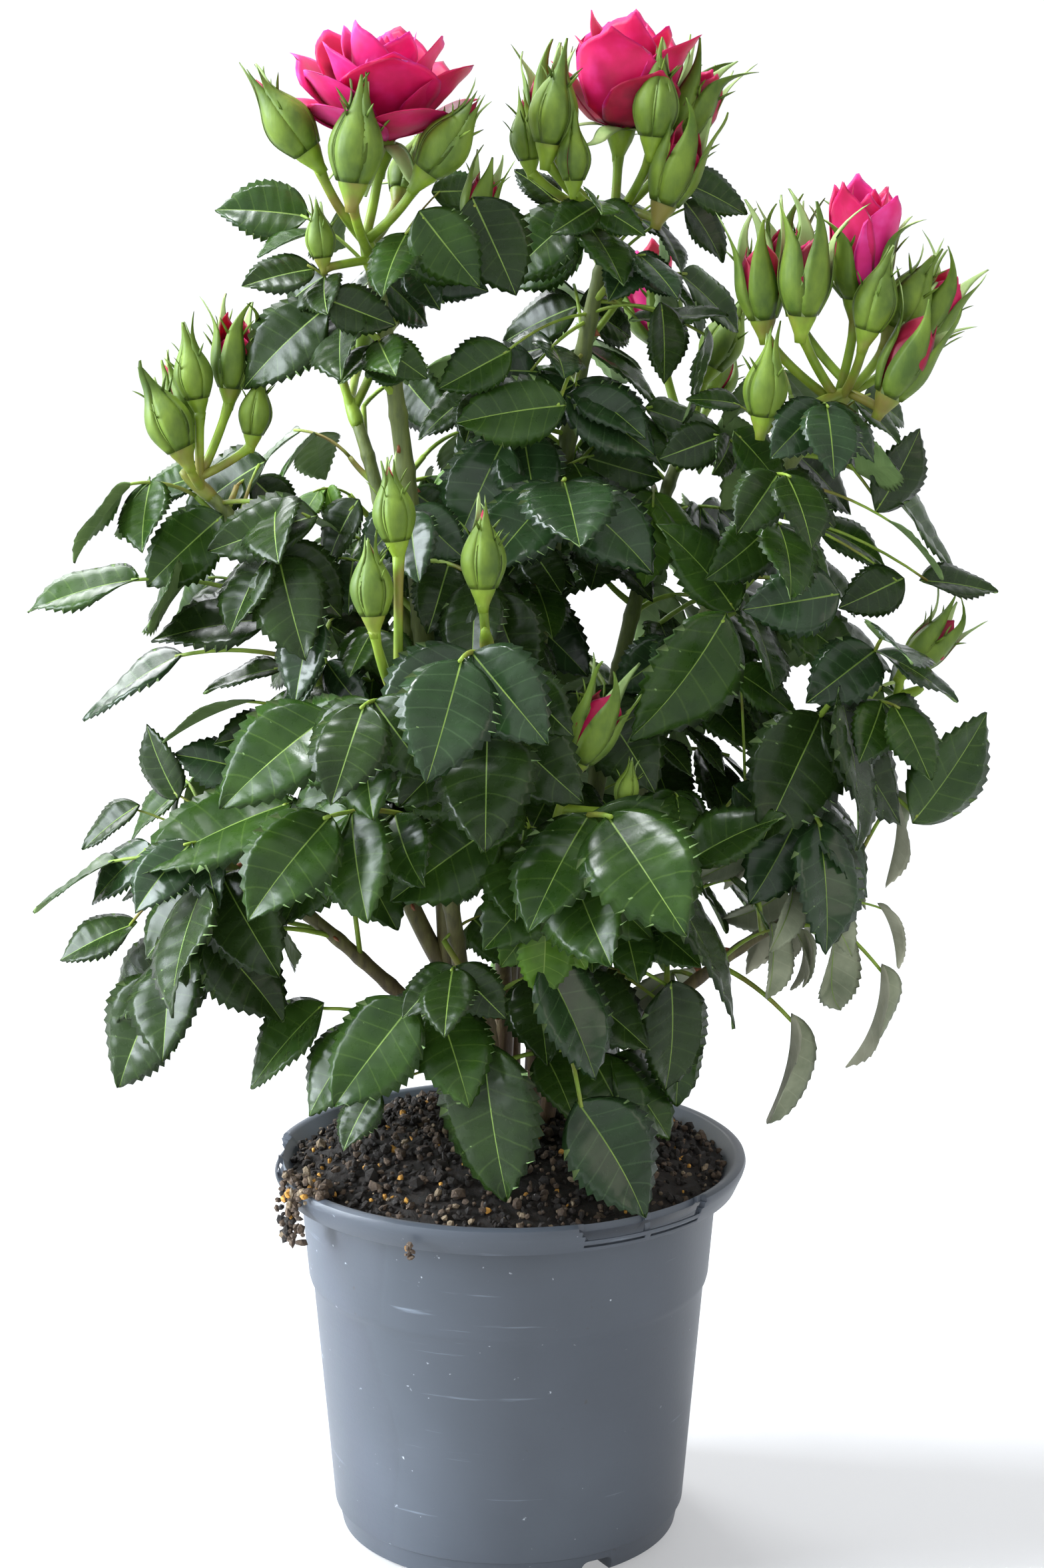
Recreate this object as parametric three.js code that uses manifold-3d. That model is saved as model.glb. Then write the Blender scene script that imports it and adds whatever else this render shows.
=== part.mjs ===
// A patio rose in its round nursery pot, in millimetres, with +Z up and -Y to the front.
// The origin is the centre of the pot's flat underside. Canes stand on the compost, each runs
// up into its own mass of leaves, and most carry a truss of buds and blooms at the top.
import * as THREE from "three";
import { mergeVertices } from "three/addons/utils/BufferGeometryUtils.js";
import Module from "manifold-3d";

const wasm = await Module();
wasm.setup();

// ---- Driving dimensions ----
const POT = {
  height: 106,
  rimRadius: 65,
  rimDepth: 7.5,
  rimEdge: 1.5,
  lipTaper: 2.3,
  mouthRadius: 61.6,
  neckRadius: 57.2,
  shoulderZ: 70,
  shoulderRise: 3,
  shoulderStep: 1,
  footRadius: 48.6,
  footBand: 7,
  footInset: 0.6,
  wall: 1.4,
  floor: 2,
  sides: 26,
};
const NOTCH = {
  count: 2,
  first: -59.5,
  width: 9.5,
  height: 4.5,
  inner: 30,
  past: 4,
  roof: 1.4,
  drain: 3.2,
  drainIn: 8,
};
const LABEL_SLOT = { count: 3, first: -55, spread: 34, depth: 3.5, rib: 1.6, wallLeft: 0.2, lipLeft: 0.4 };
const SOIL = {
  edgeZ: 102.4,
  slopeZ: 107.9,
  slopeRadius: 46,
  topZ: 113,
  flatRadius: 31,
  rooted: 8,
  leafClear: 3,
  leafRimward: 56,
};
const GAP = 0.3;
const SLIVER = 0.02;
const BLADE = { widest: 0.42, fold: 0.1, arch: 0.05 };
const STEPS = 40;

// A leaf is a rachis with side pairs and an end leaflet. Places along it are shares of the end
// leaflet's length, and each pair's size is its share of the end leaflet.
const LEAF = {
  five: { pairs: [0.45, 0.86], sizes: [0.74, 0.94], length: 1.12 },
  three: { pairs: [0.5], sizes: [0.88], length: 0.78 },
  one: { pairs: [], sizes: [], length: 0.5 },
  flat: { pairs: [], sizes: [], length: 0.5 },
  threeFrom: 0.5,
  turn: 144,
  widthShare: 0.64,
  sideAngle: 62,
  sideFan: 8,
  bend: 0.6,
  slopeKept: 0.4,
  laidSlopeKept: 0.5,
  laidHang: 12,
  hang: 40,
  endHang: 28,
  outward: 1.25,
  light: 48,
  stalk: 1.1,
  stalkFoot: 1.43,
  sunk: 2.2,
  thickShare: 1 / 40,
  clearance: 4.2,
  ownClearance: 2.6,
  ownReach: 16,
  shifts: [0, -5, 5, -10, 10, 16, -16],
  arch: 0.14,
  places: [[0.16, 0], [0.3, -0.25], [0.3, 0.25], [0.42, -0.48], [0.46, 0], [0.42, 0.48], [0.65, -0.25],
    [0.65, 0.25], [0.76, 0], [1, 0]],
  tries: [[0, 0], [22, 0], [-22, 0], [0, 20], [0, -20], [45, 8], [-45, 8], [68, 0], [-68, 0], [90, 15],
    [-90, 15], [112, 0], [-112, 0], [30, 32], [-30, 32], [136, 10], [-136, 10], [0, 45], [180, 0], [180, 25]],
};

// How much chance sways a seeded leaf: along its bough, its size, its turn, its rise and its fall.
// lift is how much more leaves rise at the bough's tip.
const SWAY = {
  from: 0.04,
  to: 0.97,
  along: 0.35,
  size: [0.86, 1.08],
  turn: 30,
  rise: 18,
  lift: 14,
  fall: [0.8, 1.2],
};

// Openings kept through the crown as seen from in front: [x, z, half width, half height] at y = 0.
const OPENINGS = {
  from: [3.7, -803, 374],
  at: [
    [-17.7, 326.6, 6, 4], [-35.2, 296.5, 10, 12], [25.8, 251, 6, 11], [54.2, 300.5, 4, 9],
    [-76.4, 269.4, 5, 4], [-50.1, 166.3, 6, 9], [106, 252.7, 4, 5],
  ],
};

// Each bough starts on the compost, or on an earlier bough at a share of its length, and bends
// to its tip. bare is the share of it with no leaves. leaves, first, size, rise and fall say how
// many seeded leaves it may have, which way the first points, the end leaflet's length low down
// and high up, the leaf stalk's slope and how far the leaf drops.
const BOUGHS = [
  { name: "front_low", foot: [-2, -21], tip: [-8, -38, 166], steep: 0.5, thick: [1.9, 1.3],
    bare: 0.3, leaves: 3, first: -100, size: [34, 34], rise: 24, fall: 85 },
  { name: "front", foot: [-9, -13], tip: [-27, -42, 236], steep: 0.5, thick: [2.4, 1.5],
    bare: 0.22, leaves: 6, first: -110, size: [40, 34], rise: 24, fall: 80 },
  { name: "front_right", foot: [6, -13], tip: [13, -34, 205], steep: 0.5, thick: [2.3, 1.5],
    bare: 0.24, leaves: 4, first: -60, size: [44, 38], rise: 24, fall: 80 },
  { name: "front_middle", from: "middle_tall", at: 0.12, tip: [-5, -42, 252], steep: 0.25, thick: [2.3, 1.5],
    bare: 0.2, leaves: 5, first: -70, size: [38, 34], rise: 26, fall: 80 },
  { name: "left_low", from: "left_tall", at: 0.08, tip: [-82, -14, 192], steep: 0.3, thick: [2.2, 1.4],
    bare: 0.24, leaves: 3, first: -140, size: [38, 36], rise: 16, fall: 85 },
  { name: "right_low", from: "right_tall", at: 0.08, tip: [90, -4, 178], steep: 0.1, thick: [2.1, 1.3],
    bare: 0.3, leaves: 2, first: -30, size: [36, 32], rise: 5, fall: 95 },
  { name: "right_side", from: "right_tall", at: 0.14, tip: [101, -2, 231], steep: 0.2, thick: [2.5, 1.5],
    bare: 0.24, leaves: 4, first: -80, size: [42, 36], rise: 26, fall: 80 },
  { name: "left_side", from: "left_tall", at: 0.14, tip: [-78, -2, 286], steep: 0.2, thick: [2.6, 1.7],
    bare: 0.18, leaves: 2, first: -150, size: [40, 32], rise: 26, fall: 78 },
  { name: "left_tall", foot: [-14, 4], tip: [-35, 0, 345], steep: 0.42, thick: [3.6, 1.9],
    bare: 0.22, leaves: 4, first: -60, size: [38, 26], rise: 32, fall: 75 },
  { name: "right_tall", foot: [9, 5], tip: [84, 0, 308], steep: 0.3, thick: [3.4, 2],
    bare: 0.22, leaves: 4, first: -60, size: [42, 30], rise: 30, fall: 78 },
  { name: "middle_tall", foot: [-3, 14], tip: [27, 18, 352], steep: 0.4, thick: [3.2, 1.9],
    bare: 0.22, leaves: 3, first: -80, size: [38, 28], rise: 32, fall: 75 },
  { name: "back_low", foot: [1, 23], tip: [4, 74, 216], steep: 0.3, thick: [2.2, 1.4],
    bare: 0.3, leaves: 5, first: 80, size: [40, 36], rise: 20, fall: 85 },
  { name: "back_left", foot: [-12, 18], tip: [-42, 52, 300], steep: 0.35, thick: [3, 1.7],
    bare: 0.26, leaves: 7, first: 120, size: [38, 30], rise: 28, fall: 80 },
  { name: "back_right", foot: [12, 17], tip: [48, 50, 292], steep: 0.35, thick: [3, 1.7],
    bare: 0.26, leaves: 7, first: 30, size: [38, 30], rise: 28, fall: 80 },
];

// Leaves that stand out: [share of the bough, where the end leaflet starts, its tip, plan].
const OWN_LEAVES = {
  left_side: [
    [0.72, [-99, -4, 261], [-128, -2, 256], "three"],
    [0.62, [-89, 6, 242], [-119, 8, 227], "flat"],
    [0.55, [-61, -12, 255], [-97, -10, 253], "flat"],
    [0.5, [-69, -6, 232], [-96, -4, 225], "flat"],
    [0.9, [-66, 10, 293], [-91, 14, 279], "one"],
    [0.97, [-51, -16, 282], [-80, -20, 275], "three"],
    [0.86, [-82, 8, 290], [-100, 10, 286], "one"],
    [0.45, [-50, -26, 256], [-57, -34, 235], "three"],
    [0.4, [-42, -18, 237], [-65, -22, 225], "one"],
  ],
  left_low: [
    [0.6, [-58, -24, 208], [-100, -34, 196], "one"],
    [0.66, [-89, -4, 207], [-100, -2, 226], "one"],
    [0.8, [-100, -6, 203], [-112, -8, 191], "one"],
    [0.85, [-108, 4, 186], [-133, 6, 174], "flat"],
    [0.82, [-89, 6, 185], [-109, 8, 176], "one"],
    [0.97, [-91, -20, 159], [-109, -24, 129], "five"],
    [0.5, [-77, -28, 173], [-55, -34, 152], "one"],
    [0.4, [-45, -34, 216], [-52, -42, 184], "three"],
  ],
  left_tall: [
    [0.985, [-54, 0, 358], [-79, 0, 362], "three"],
    [0.9, [-48, -6, 334], [-73, -8, 315], "three"],
    [0.95, [-46, 6, 336], [-62, 8, 347], "one"],
    [0.92, [-44, -8, 337], [-26, -10, 331], "one"],
    [0.84, [-28, -8, 318], [-40, -10, 322], "one"],
    [0.8, [-36, -10, 296], [-52, -14, 292], "three"],
    [0.97, [-21, -8, 358], [-6, -12, 339], "three"],
    [0.96, [-18, 4, 364], [-2, 6, 365], "one"],
  ],
  middle_tall: [
    [0.97, [18, 6, 358], [-6, 2, 342], "three"],
    [0.98, [12, 16, 362], [1, 18, 373], "one"],
    [0.97, [42, 20, 362], [52, 22, 378], "one"],
    [0.95, [47, 16, 366], [66, 18, 359], "one"],
    [0.93, [48, 12, 360], [61, 12, 345], "three"],
    [0.85, [6, 4, 318], [-18, 0, 320], "three"],
    [0.8, [13, -4, 310], [-16, -8, 308], "one"],
    [0.78, [17, 0, 311], [42, -6, 298], "three"],
    [0.9, [34, 10, 331], [60, 10, 336], "one"],
  ],
  right_tall: [
    [0.95, [98, 2, 283], [112, 2, 304], "three"],
    [0.85, [101, -8, 279], [118, -12, 267], "one"],
    [0.8, [111, 2, 263], [133, 4, 262], "flat"],
    [0.8, [102, -6, 264], [85, -12, 257], "one"],
    [0.7, [84, -18, 262], [59, -26, 259], "one"],
    [0.62, [58, -14, 259], [41, -16, 285], "one"],
    [0.9, [59, 6, 310], [45, 4, 314], "one"],
    [0.5, [55, -28, 257], [35, -40, 222], "one"],
  ],
  right_side: [
    [0.72, [86, -22, 237], [98, -34, 197], "three"],
    [0.8, [113, 2, 220], [137, 4, 225], "one"],
    [0.75, [109, 6, 216], [116, 6, 196], "one"],
    [0.34, [48, -30, 195], [71, -34, 212], "one"],
    [0.35, [61, -12, 209], [82, -16, 192], "one"],
    [0.3, [39, -34, 192], [68, -46, 157], "one"],
  ],
  right_low: [
    [0.6, [74, -12, 148], [79, -14, 113], "one"],
    [0.9, [97, -2, 155], [101, -2, 126], "one"],
    [0.8, [80, -8, 166], [85, -8, 148], "three"],
    [0.95, [101, 0, 174], [113, 0, 159], "one"],
    [0.99, [104, 4, 204], [113, 4, 178], "one"],
  ],
  front_low: [
    [0.6, [-25, -52, 161], [-47, -60, 136], "three"],
    [0.45, [-6, -52, 150], [-3, -64, 110], "one"],
    [0.4, [-43, -24, 155], [-65, -26, 132], "one"],
    [0.36, [-35, -44, 136], [-45, -52, 122], "one"],
  ],
  front_right: [
    [0.5, [19, -50, 134], [40, -60, 107], "one"],
    [0.6, [10, -50, 171], [27, -56, 142], "one"],
    [0.5, [43, -36, 159], [46, -40, 128], "one"],
  ],
};

// Heads of each truss: how far its neck stands right of, behind and above the bough's tip,
// which way it leans (right, back, against 1 up), its kind and its size against a full one.
const TRUSSES = {
  left_tall: [
    [-12, -9, 0, [-0.1, 0], "bud", 0.62],
    [-4, -20, 17, [0.1, -0.05], "bud", 1.1],
    [25, -4, 8, [0.3, 0], "split", 0.7],
    [6, 14, 16, [0.3, 0.6], "bud", 0.8],
    [-13, -12, 26, [-0.72, -0.1], "bud", 1],
    [12, -14, 21, [0.75, -0.1], "bud", 1],
    [2, 0, 25, [0.04, -0.14], "bloom", 1.04],
  ],
  middle_tall: [
    [2, 0, 22, [0.1, -0.1], "cup", 1],
    [-17, -14, 20, [0.15, -0.05], "bud", 1],
    [-21, -6, 17, [-0.12, 0], "bud", 0.72],
    [-16, 8, 21, [-0.05, 0.1], "split", 0.9],
    [-10, -16, 12, [0, -0.05], "bud", 0.7],
    [10, -14, 22, [0.1, -0.05], "bud", 0.95],
    [15, -3, 21, [0.5, 0], "split", 0.95],
    [15, 12, 24, [0.55, 0.3], "split", 0.85],
    [12, -13, 5, [0.35, -0.05], "split", 1],
  ],
  right_tall: [
    [6, -2, 24, [0.05, -0.05], "half", 1],
    [-18, -8, 20, [-0.1, -0.05], "split", 0.95],
    [-9, -13, 21, [0.05, -0.1], "split", 1.05],
    [7, -13, 18, [0.25, -0.1], "bud", 0.9],
    [14, -4, 18, [0.5, 0], "bud", 0.95],
    [20, 1, 15, [0.62, 0], "split", 0.9],
    [12, -11, 1, [0.5, -0.1], "split", 1],
    [-19, -15, -4, [0.1, -0.05], "bud", 0.9],
    [-10, 9, 26, [-0.05, 0.1], "split", 0.85],
  ],
  left_side: [
    [-5, -6, 9, [-0.45, 0], "bud", 0.95],
    [-2, -2, 22, [-0.15, 0], "bud", 0.8],
    [5, 5, 24, [0.1, 0], "split", 0.85],
    [11, 0, 13, [0.15, 0], "bud", 0.7],
    [-5, 5, 14, [-0.35, 0.1], "bud", 0.8],
  ],
  front: [[0, -4, 40, [-0.1, 0], "bud", 0.85], [-6, -9, 22, [-0.05, 0], "bud", 0.85]],
  front_middle: [[-1, -5, 12, [0, 0], "bud", 0.9]],
  front_right: [[3, -5, 14, [0.5, 0], "split", 0.95], [16, -9, 5, [0.2, 0], "bud", 0.5]],
  right_side: [[3, 0, 7, [0.9, 0], "split", 0.8]],
  back_left: [
    [-6, 4, 20, [-0.4, 0.2], "bud", 0.95],
    [7, 9, 24, [0.2, 0.5], "split", 0.95],
    [-1, 16, 14, [0, 0.8], "bud", 0.8],
  ],
  back_right: [
    [6, 3, 20, [0.5, 0.1], "bud", 0.95],
    [-5, 10, 26, [-0.2, 0.3], "half", 0.9],
    [8, 14, 12, [0.5, 0.7], "bud", 0.8],
  ],
};
const BUD = {
  profile: [[0, -1.5], [5.6, 7.5], [5.2, 13], [0, 26]],
  sides: 4,
  tilt: 34,
  sepalOut: 2.6,
  sepalZ: 13,
  sepal: 15,
  sepalWidth: 3.4,
  sepalThick: 1.4,
  sepalFrom: 0.95,
};
const BLOOM = {
  profile: [[0, -1.5], [4.4, 5], [11.5, 13], [11.5, 24], [0, 30]],
  petals: 7,
  slopes: [28, 56],
  rootRadius: 4,
  rootZ: 8,
  petalLength: 23,
  petalWidth: 20,
};
const CUP = {
  profile: [[0, -1.5], [4.4, 5], [9.5, 13], [10, 25], [0, 34]],
  petals: 4,
  slopes: [68, 76],
  rootRadius: 6,
  rootZ: 9,
  petalLength: 25,
  petalWidth: 13,
};
const HALF = {
  profile: [[0, -1.5], [4.2, 5], [8, 13], [7.5, 24], [0, 30]],
  petals: 3,
  slopes: [74, 82],
  rootRadius: 4,
  rootZ: 9,
  petalLength: 22,
  petalWidth: 11,
};
const PETAL_THICK = 1.4;
const HEAD_STALK = { low: 1.4, high: 1.35, bow: 0.14, dip: 0.05, into: 3 };
const KNOB = { length: 9, past: 3, start: 2, sides: 5, taper: 0.9 };
const ROOT_FLARE = 1.4;
const FORK_OUT = 0.3;
const FOOT_OUT = 0.14;
const HIGH_OUT = 0.62;
const HIGH_UP = 0.84;
const LIMB_CLEAR = 2.6;
const STALK_CLEAR = 5;
const HEAD_PLACES = {
  bud: { reach: [4, 12, 20, 28], gap: 8 },
  split: { reach: [4, 12, 20, 28], gap: 8 },
  half: { reach: [4, 18], gap: 12 },
  cup: { reach: [4, 18], gap: 17 },
  bloom: { reach: [8, 18], gap: 25 },
};

const MATERIALS = {
  pot: new THREE.MeshStandardMaterial({ color: 0x64707c, roughness: 0.5, metalness: 0 }),
  soil: new THREE.MeshStandardMaterial({ color: 0x2b211a, roughness: 1, metalness: 0 }),
  bark: new THREE.MeshStandardMaterial({ color: 0x5a4a32, roughness: 0.8, metalness: 0 }),
  leaf: new THREE.MeshStandardMaterial({ color: 0x23401c, roughness: 0.4, metalness: 0 }),
  truss: new THREE.MeshStandardMaterial({ color: 0x7d9a35, roughness: 0.55, metalness: 0 }),
};

// ---- Solids ----
const { degToRad: radians, lerp } = THREE.MathUtils;
const SKY = new THREE.Vector3(0, 0, 1);
const FRONT = new THREE.Vector3(0, -1, 0);
const DOWN = new THREE.Vector3(0, 0, -1);

// Even steps from 0 to 1.
const shares = (steps) => Array.from({ length: steps + 1 }, (_, i) => i / steps);

function solidOf(geometry) {
  const bare = geometry.index ? geometry.toNonIndexed() : geometry.clone();
  bare.deleteAttribute("normal");
  bare.deleteAttribute("uv");
  const merged = mergeVertices(bare, 1e-4);
  const index = new Uint32Array(merged.index.array);
  const make = () =>
    new wasm.Manifold(
      new wasm.Mesh({ numProp: 3, vertProperties: merged.attributes.position.array, triVerts: index }),
    );
  const solid = make();
  if (solid.volume() > 0) return solid;
  for (let i = 0; i < index.length; i += 3) [index[i], index[i + 1]] = [index[i + 1], index[i]];
  return make();
}

// The largest closed body, so that a loose scrap is dropped and a sealed hollow is filled.
function largest(solid) {
  const bodies = solid.simplify(SLIVER).decompose();
  return bodies.reduce((best, one) => (one.volume() > best.volume() ? one : best));
}

const join = (solids) => solids.reduce((whole, one) => whole.add(one));

function meshOf(name, solid, material) {
  const { vertProperties, triVerts, numProp } = largest(solid).getMesh();
  const geometry = new THREE.BufferGeometry();
  const corners = new THREE.InterleavedBufferAttribute(
    new THREE.InterleavedBuffer(vertProperties, numProp), 3, 0);
  const place = new Float32Array(corners.count * 3);
  for (let i = 0; i < corners.count; i++) {
    place.set([corners.getX(i), corners.getY(i), corners.getZ(i)], i * 3);
  }
  geometry.setAttribute("position", new THREE.BufferAttribute(place, 3));
  geometry.setIndex(new THREE.BufferAttribute(triVerts, 1));
  geometry.computeVertexNormals();
  const mesh = new THREE.Mesh(geometry, material);
  mesh.name = name;
  return mesh;
}

// A solid of revolution about Z from a profile of [radius, height] that starts and ends on the axis.
function turned(profile, sides) {
  const points = profile.map(([r, z]) => new THREE.Vector2(r, z));
  return solidOf(new THREE.LatheGeometry(points, sides).rotateX(Math.PI / 2));
}

function box(width, depth, height, x, y, z, turn = 0) {
  const shape = new THREE.BoxGeometry(width, depth, height).translate(x, y, z);
  return solidOf(shape.rotateZ(radians(turn)));
}

// A limb bent along a curve. profile lists [share of the length, radius], and up is the side
// that one corner of its section faces.
function limb(curve, profile, sides, up = FRONT) {
  const points = profile.map(([share, r]) => new THREE.Vector2(r, share));
  points.unshift(new THREE.Vector2(0, points[0].y));
  points.push(new THREE.Vector2(0, points[points.length - 1].y));
  const geometry = new THREE.LatheGeometry(points, sides);
  const place = geometry.attributes.position;
  for (let i = 0; i < place.count; i++) {
    const share = place.getY(i);
    const along = curve.getTangent(Math.max(share, 0));
    const across = along.clone().cross(up).normalize();
    const over = across.clone().cross(along);
    const corner = curve.getPoint(share)
      .addScaledVector(across, place.getX(i))
      .addScaledVector(over, place.getZ(i));
    place.setXYZ(i, corner.x, corner.y, corner.z);
  }
  return solidOf(geometry);
}

// A thin blade of eight faces: four corners round its edge, and a middle above and below.
function blade({ base, along, face, length, width, thick }) {
  const across = along.clone().cross(face);
  const corner = (u, v, rise) =>
    base.clone()
      .addScaledVector(along, u * length)
      .addScaledVector(across, v * width)
      .addScaledVector(face, rise);
  const edge = [
    corner(0, 0, 0),
    corner(BLADE.widest, 0.5, BLADE.fold * width),
    corner(1, 0, -BLADE.arch * length),
    corner(BLADE.widest, -0.5, BLADE.fold * width),
  ];
  const above = corner(BLADE.widest, 0, thick / 2);
  const below = corner(BLADE.widest, 0, -thick / 2);
  const faces = edge.flatMap((point, i) => {
    const next = edge[(i + 1) % edge.length];
    return [above, point, next, below, next, point];
  });
  return solidOf(new THREE.BufferGeometry().setFromPoints(faces));
}

// ---- Pot ----
function potSolids() {
  const { height, rimRadius, rimDepth, mouthRadius, neckRadius, wall, floor } = POT;
  const rimLow = height - rimDepth;
  const bodyLow = POT.footRadius;
  const slope = (neckRadius - POT.shoulderStep - bodyLow) / (rimLow - POT.footBand);
  const bodyAt = (z) => bodyLow + slope * (z - POT.footBand);
  const foot = bodyLow - POT.footInset;
  const shoulderTop = POT.shoulderZ + POT.shoulderRise;
  const shoulder = bodyAt(POT.shoulderZ) + POT.shoulderStep;
  const outer = [
    [0, 0],
    [foot, 0],
    [foot, POT.footBand - POT.footInset],
    [bodyLow, POT.footBand],
    [bodyAt(POT.shoulderZ), POT.shoulderZ],
    [shoulder, shoulderTop],
    [neckRadius, rimLow],
  ];
  const lip = [
    [mouthRadius + wall - GAP, height - wall],
    [rimRadius - wall - GAP, height - wall],
    [rimRadius - wall - POT.lipTaper, rimLow],
    [rimRadius - POT.lipTaper, rimLow],
    [rimRadius, height - POT.rimEdge],
    [rimRadius - POT.rimEdge, height],
    [0, height],
  ];
  const inner = [
    [0, floor],
    [foot - wall, floor],
    [bodyAt(POT.shoulderZ) - wall, POT.shoulderZ],
    [shoulder - wall, shoulderTop],
    [neckRadius - wall, rimLow],
  ];
  const mouth = inner[inner.length - 1][0];
  const mouthAt = (z) => mouth + ((mouthRadius - mouth) * (z - rimLow)) / (height - rimLow);
  const hollow = turned([...inner, [mouthAt(height + 1), height + 1], [0, height + 1]], POT.sides);
  const whole = turned([...outer, ...lip], POT.sides);
  let pot = whole.subtract(hollow);

  // Feet are left between arched notches, each roofed over and drained by a hole.
  const turns = (row) => Array.from({ length: row.count }, (_, i) => row.first + (i * 360) / row.count);
  const reach = (bodyLow + NOTCH.past - NOTCH.inner) / 2;
  const roofReach = reach - NOTCH.past + 1;
  const roofs = turns(NOTCH).map((turn) =>
    box(2 * roofReach, NOTCH.width + 2 * NOTCH.roof, NOTCH.height + NOTCH.roof,
      NOTCH.inner - NOTCH.roof + roofReach, 0, (NOTCH.height + NOTCH.roof) / 2, turn));
  const voids = turns(NOTCH).map((turn) =>
    box(2 * reach, NOTCH.width, NOTCH.height * 2, NOTCH.inner + reach, 0, 0, turn));
  const drains = turns(NOTCH).map((turn) => {
    const hole = new THREE.CylinderGeometry(NOTCH.drain, NOTCH.drain, 3 * NOTCH.height, 6);
    return solidOf(hole.rotateX(Math.PI / 2).translate(NOTCH.inner + NOTCH.drainIn, 0, NOTCH.height)
      .rotateZ(radians(turn)));
  });
  const inside = turned([...inner, [0, rimLow]], POT.sides);
  pot = pot.add(join(roofs).intersect(inside.add(pot))).subtract(join(voids)).subtract(join(drains));

  // Label slots: the rim's top is cut away between its wall and its lip, with a rib left across.
  for (const turn of turns(LABEL_SLOT)) {
    const half = radians(LABEL_SLOT.spread / 2);
    const arc = (from, to, low, high) => {
      const shape = new THREE.Shape();
      shape.absarc(0, 0, to, -half, half, false);
      shape.absarc(0, 0, from, half, -half, true);
      const settings = { depth: high - low, bevelEnabled: false, curveSegments: 3 };
      const made = new THREE.ExtrudeGeometry(shape, settings);
      return solidOf(made.translate(0, 0, low).rotateZ(radians(turn)));
    };
    const rib = box(2 * rimLow, LABEL_SLOT.rib, 2 * rimLow, rimLow, 0, height, turn);
    const near = mouthRadius + wall - LABEL_SLOT.wallLeft;
    const far = rimRadius - wall - LABEL_SLOT.lipLeft;
    const opening = arc(near, far, rimLow, height + 1).subtract(rib);
    const dip = arc(far - LABEL_SLOT.wallLeft, rimRadius + 1, height - LABEL_SLOT.depth, height + 1);
    pot = pot.subtract(opening).subtract(dip);
  }

  // Compost fills the pot and is mounded round the canes.
  const fill = [[0, floor + GAP], ...inner.filter(([r, z]) => r > 0 && z !== shoulderTop)
    .map(([r, z]) => [r - GAP, Math.max(z, floor + GAP)])];
  const mound = [
    [mouthAt(SOIL.edgeZ) - GAP, SOIL.edgeZ],
    [SOIL.slopeRadius, SOIL.slopeZ],
    [SOIL.flatRadius, SOIL.topZ],
    [0, SOIL.topZ],
  ];
  const clear = NOTCH.roof + GAP;
  const raised = turns(NOTCH).map((turn) =>
    box(2 * reach + 2 * GAP, NOTCH.width + 2 * clear, NOTCH.height + clear,
      NOTCH.inner - NOTCH.roof + reach - GAP, 0, (NOTCH.height + clear) / 2, turn));
  const soil = turned([...fill, ...mound], POT.sides).subtract(join(raised));
  return { pot, soil };
}

// ---- Boughs ----
// Repeatable chance from 0 to 1 for a bough, a leaf on it and a use.
function chance(bough, leaf, use) {
  const s = Math.sin(bough * 12.9898 + leaf * 78.233 + use * 37.719) * 43758.5453;
  return s - Math.floor(s);
}

const curves = new Map();
function boughCurve(bough) {
  const start = bough.foot
    ? new THREE.Vector3(...bough.foot, SOIL.topZ + GAP)
    : curves.get(bough.from).getPoint(bough.at);
  const tip = new THREE.Vector3(...bough.tip);
  const way = tip.clone().sub(start);
  const out = bough.foot ? FOOT_OUT : FORK_OUT;
  const low = start.clone().add(new THREE.Vector3(way.x * out, way.y * out, way.z * bough.steep));
  const high = start.clone().add(new THREE.Vector3(way.x * HIGH_OUT, way.y * HIGH_OUT, way.z * HIGH_UP));
  return new THREE.CubicBezierCurve3(start, low, high, tip);
}

const boughRadius = (bough, share) => lerp(...bough.thick, share);

// The unit vector at an azimuth, from +X towards +Y, and an elevation, both in degrees.
function heading(azimuth, elevation) {
  const [a, e] = [radians(azimuth), radians(elevation)];
  return new THREE.Vector3(Math.cos(a) * Math.cos(e), Math.sin(a) * Math.cos(e), Math.sin(e));
}

// The side of a blade that faces the sky.
const upSide = (along) => SKY.clone().addScaledVector(along, -along.z).normalize();

// ---- Leaves ----
// A leaflet turns its face up, outward and to the light, or only up where it lies flat.
function leaflet(base, along, length, plan) {
  const outward = base.clone().setZ(0).sub(new THREE.Vector3(0, LEAF.light, 0)).normalize();
  const face = SKY.clone().addScaledVector(outward, plan === LEAF.flat ? 0 : LEAF.outward);
  face.addScaledVector(along, -face.dot(along)).normalize();
  return { base, along, face, length, width: length * LEAF.widthShare };
}

// A seeded leaf's stalk leaves at slope rise and bends down evenly. Its leaflets are set along it.
function leafShape(start, azimuth, rise, fall, size, plan) {
  const length = size * plan.length;
  const drop = fall * LEAF.bend;
  const at = (share) => {
    const [high, low, curl] = [radians(rise), radians(rise - drop * share), radians(drop) / length];
    return start.clone()
      .addScaledVector(heading(azimuth, 0), (Math.sin(high) - Math.sin(low)) / curl)
      .addScaledVector(SKY, (Math.cos(low) - Math.cos(high)) / curl);
  };
  const leaflets = [];
  plan.pairs.forEach((place, k) => {
    const share = place / plan.length;
    for (const side of [-1, 1]) {
      const turn = side * (LEAF.sideAngle - LEAF.sideFan * k);
      const along = heading(azimuth + turn, (rise - drop * share) * LEAF.slopeKept - LEAF.hang);
      leaflets.push(leaflet(at(share), along, size * plan.sizes[k], plan));
    }
  });
  const end = heading(azimuth, rise - drop - LEAF.endHang);
  leaflets.push(leaflet(at(1 - LEAF.sunk / length), end, size, plan));
  return { points: shares(4).map(at), leaflets };
}

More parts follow.
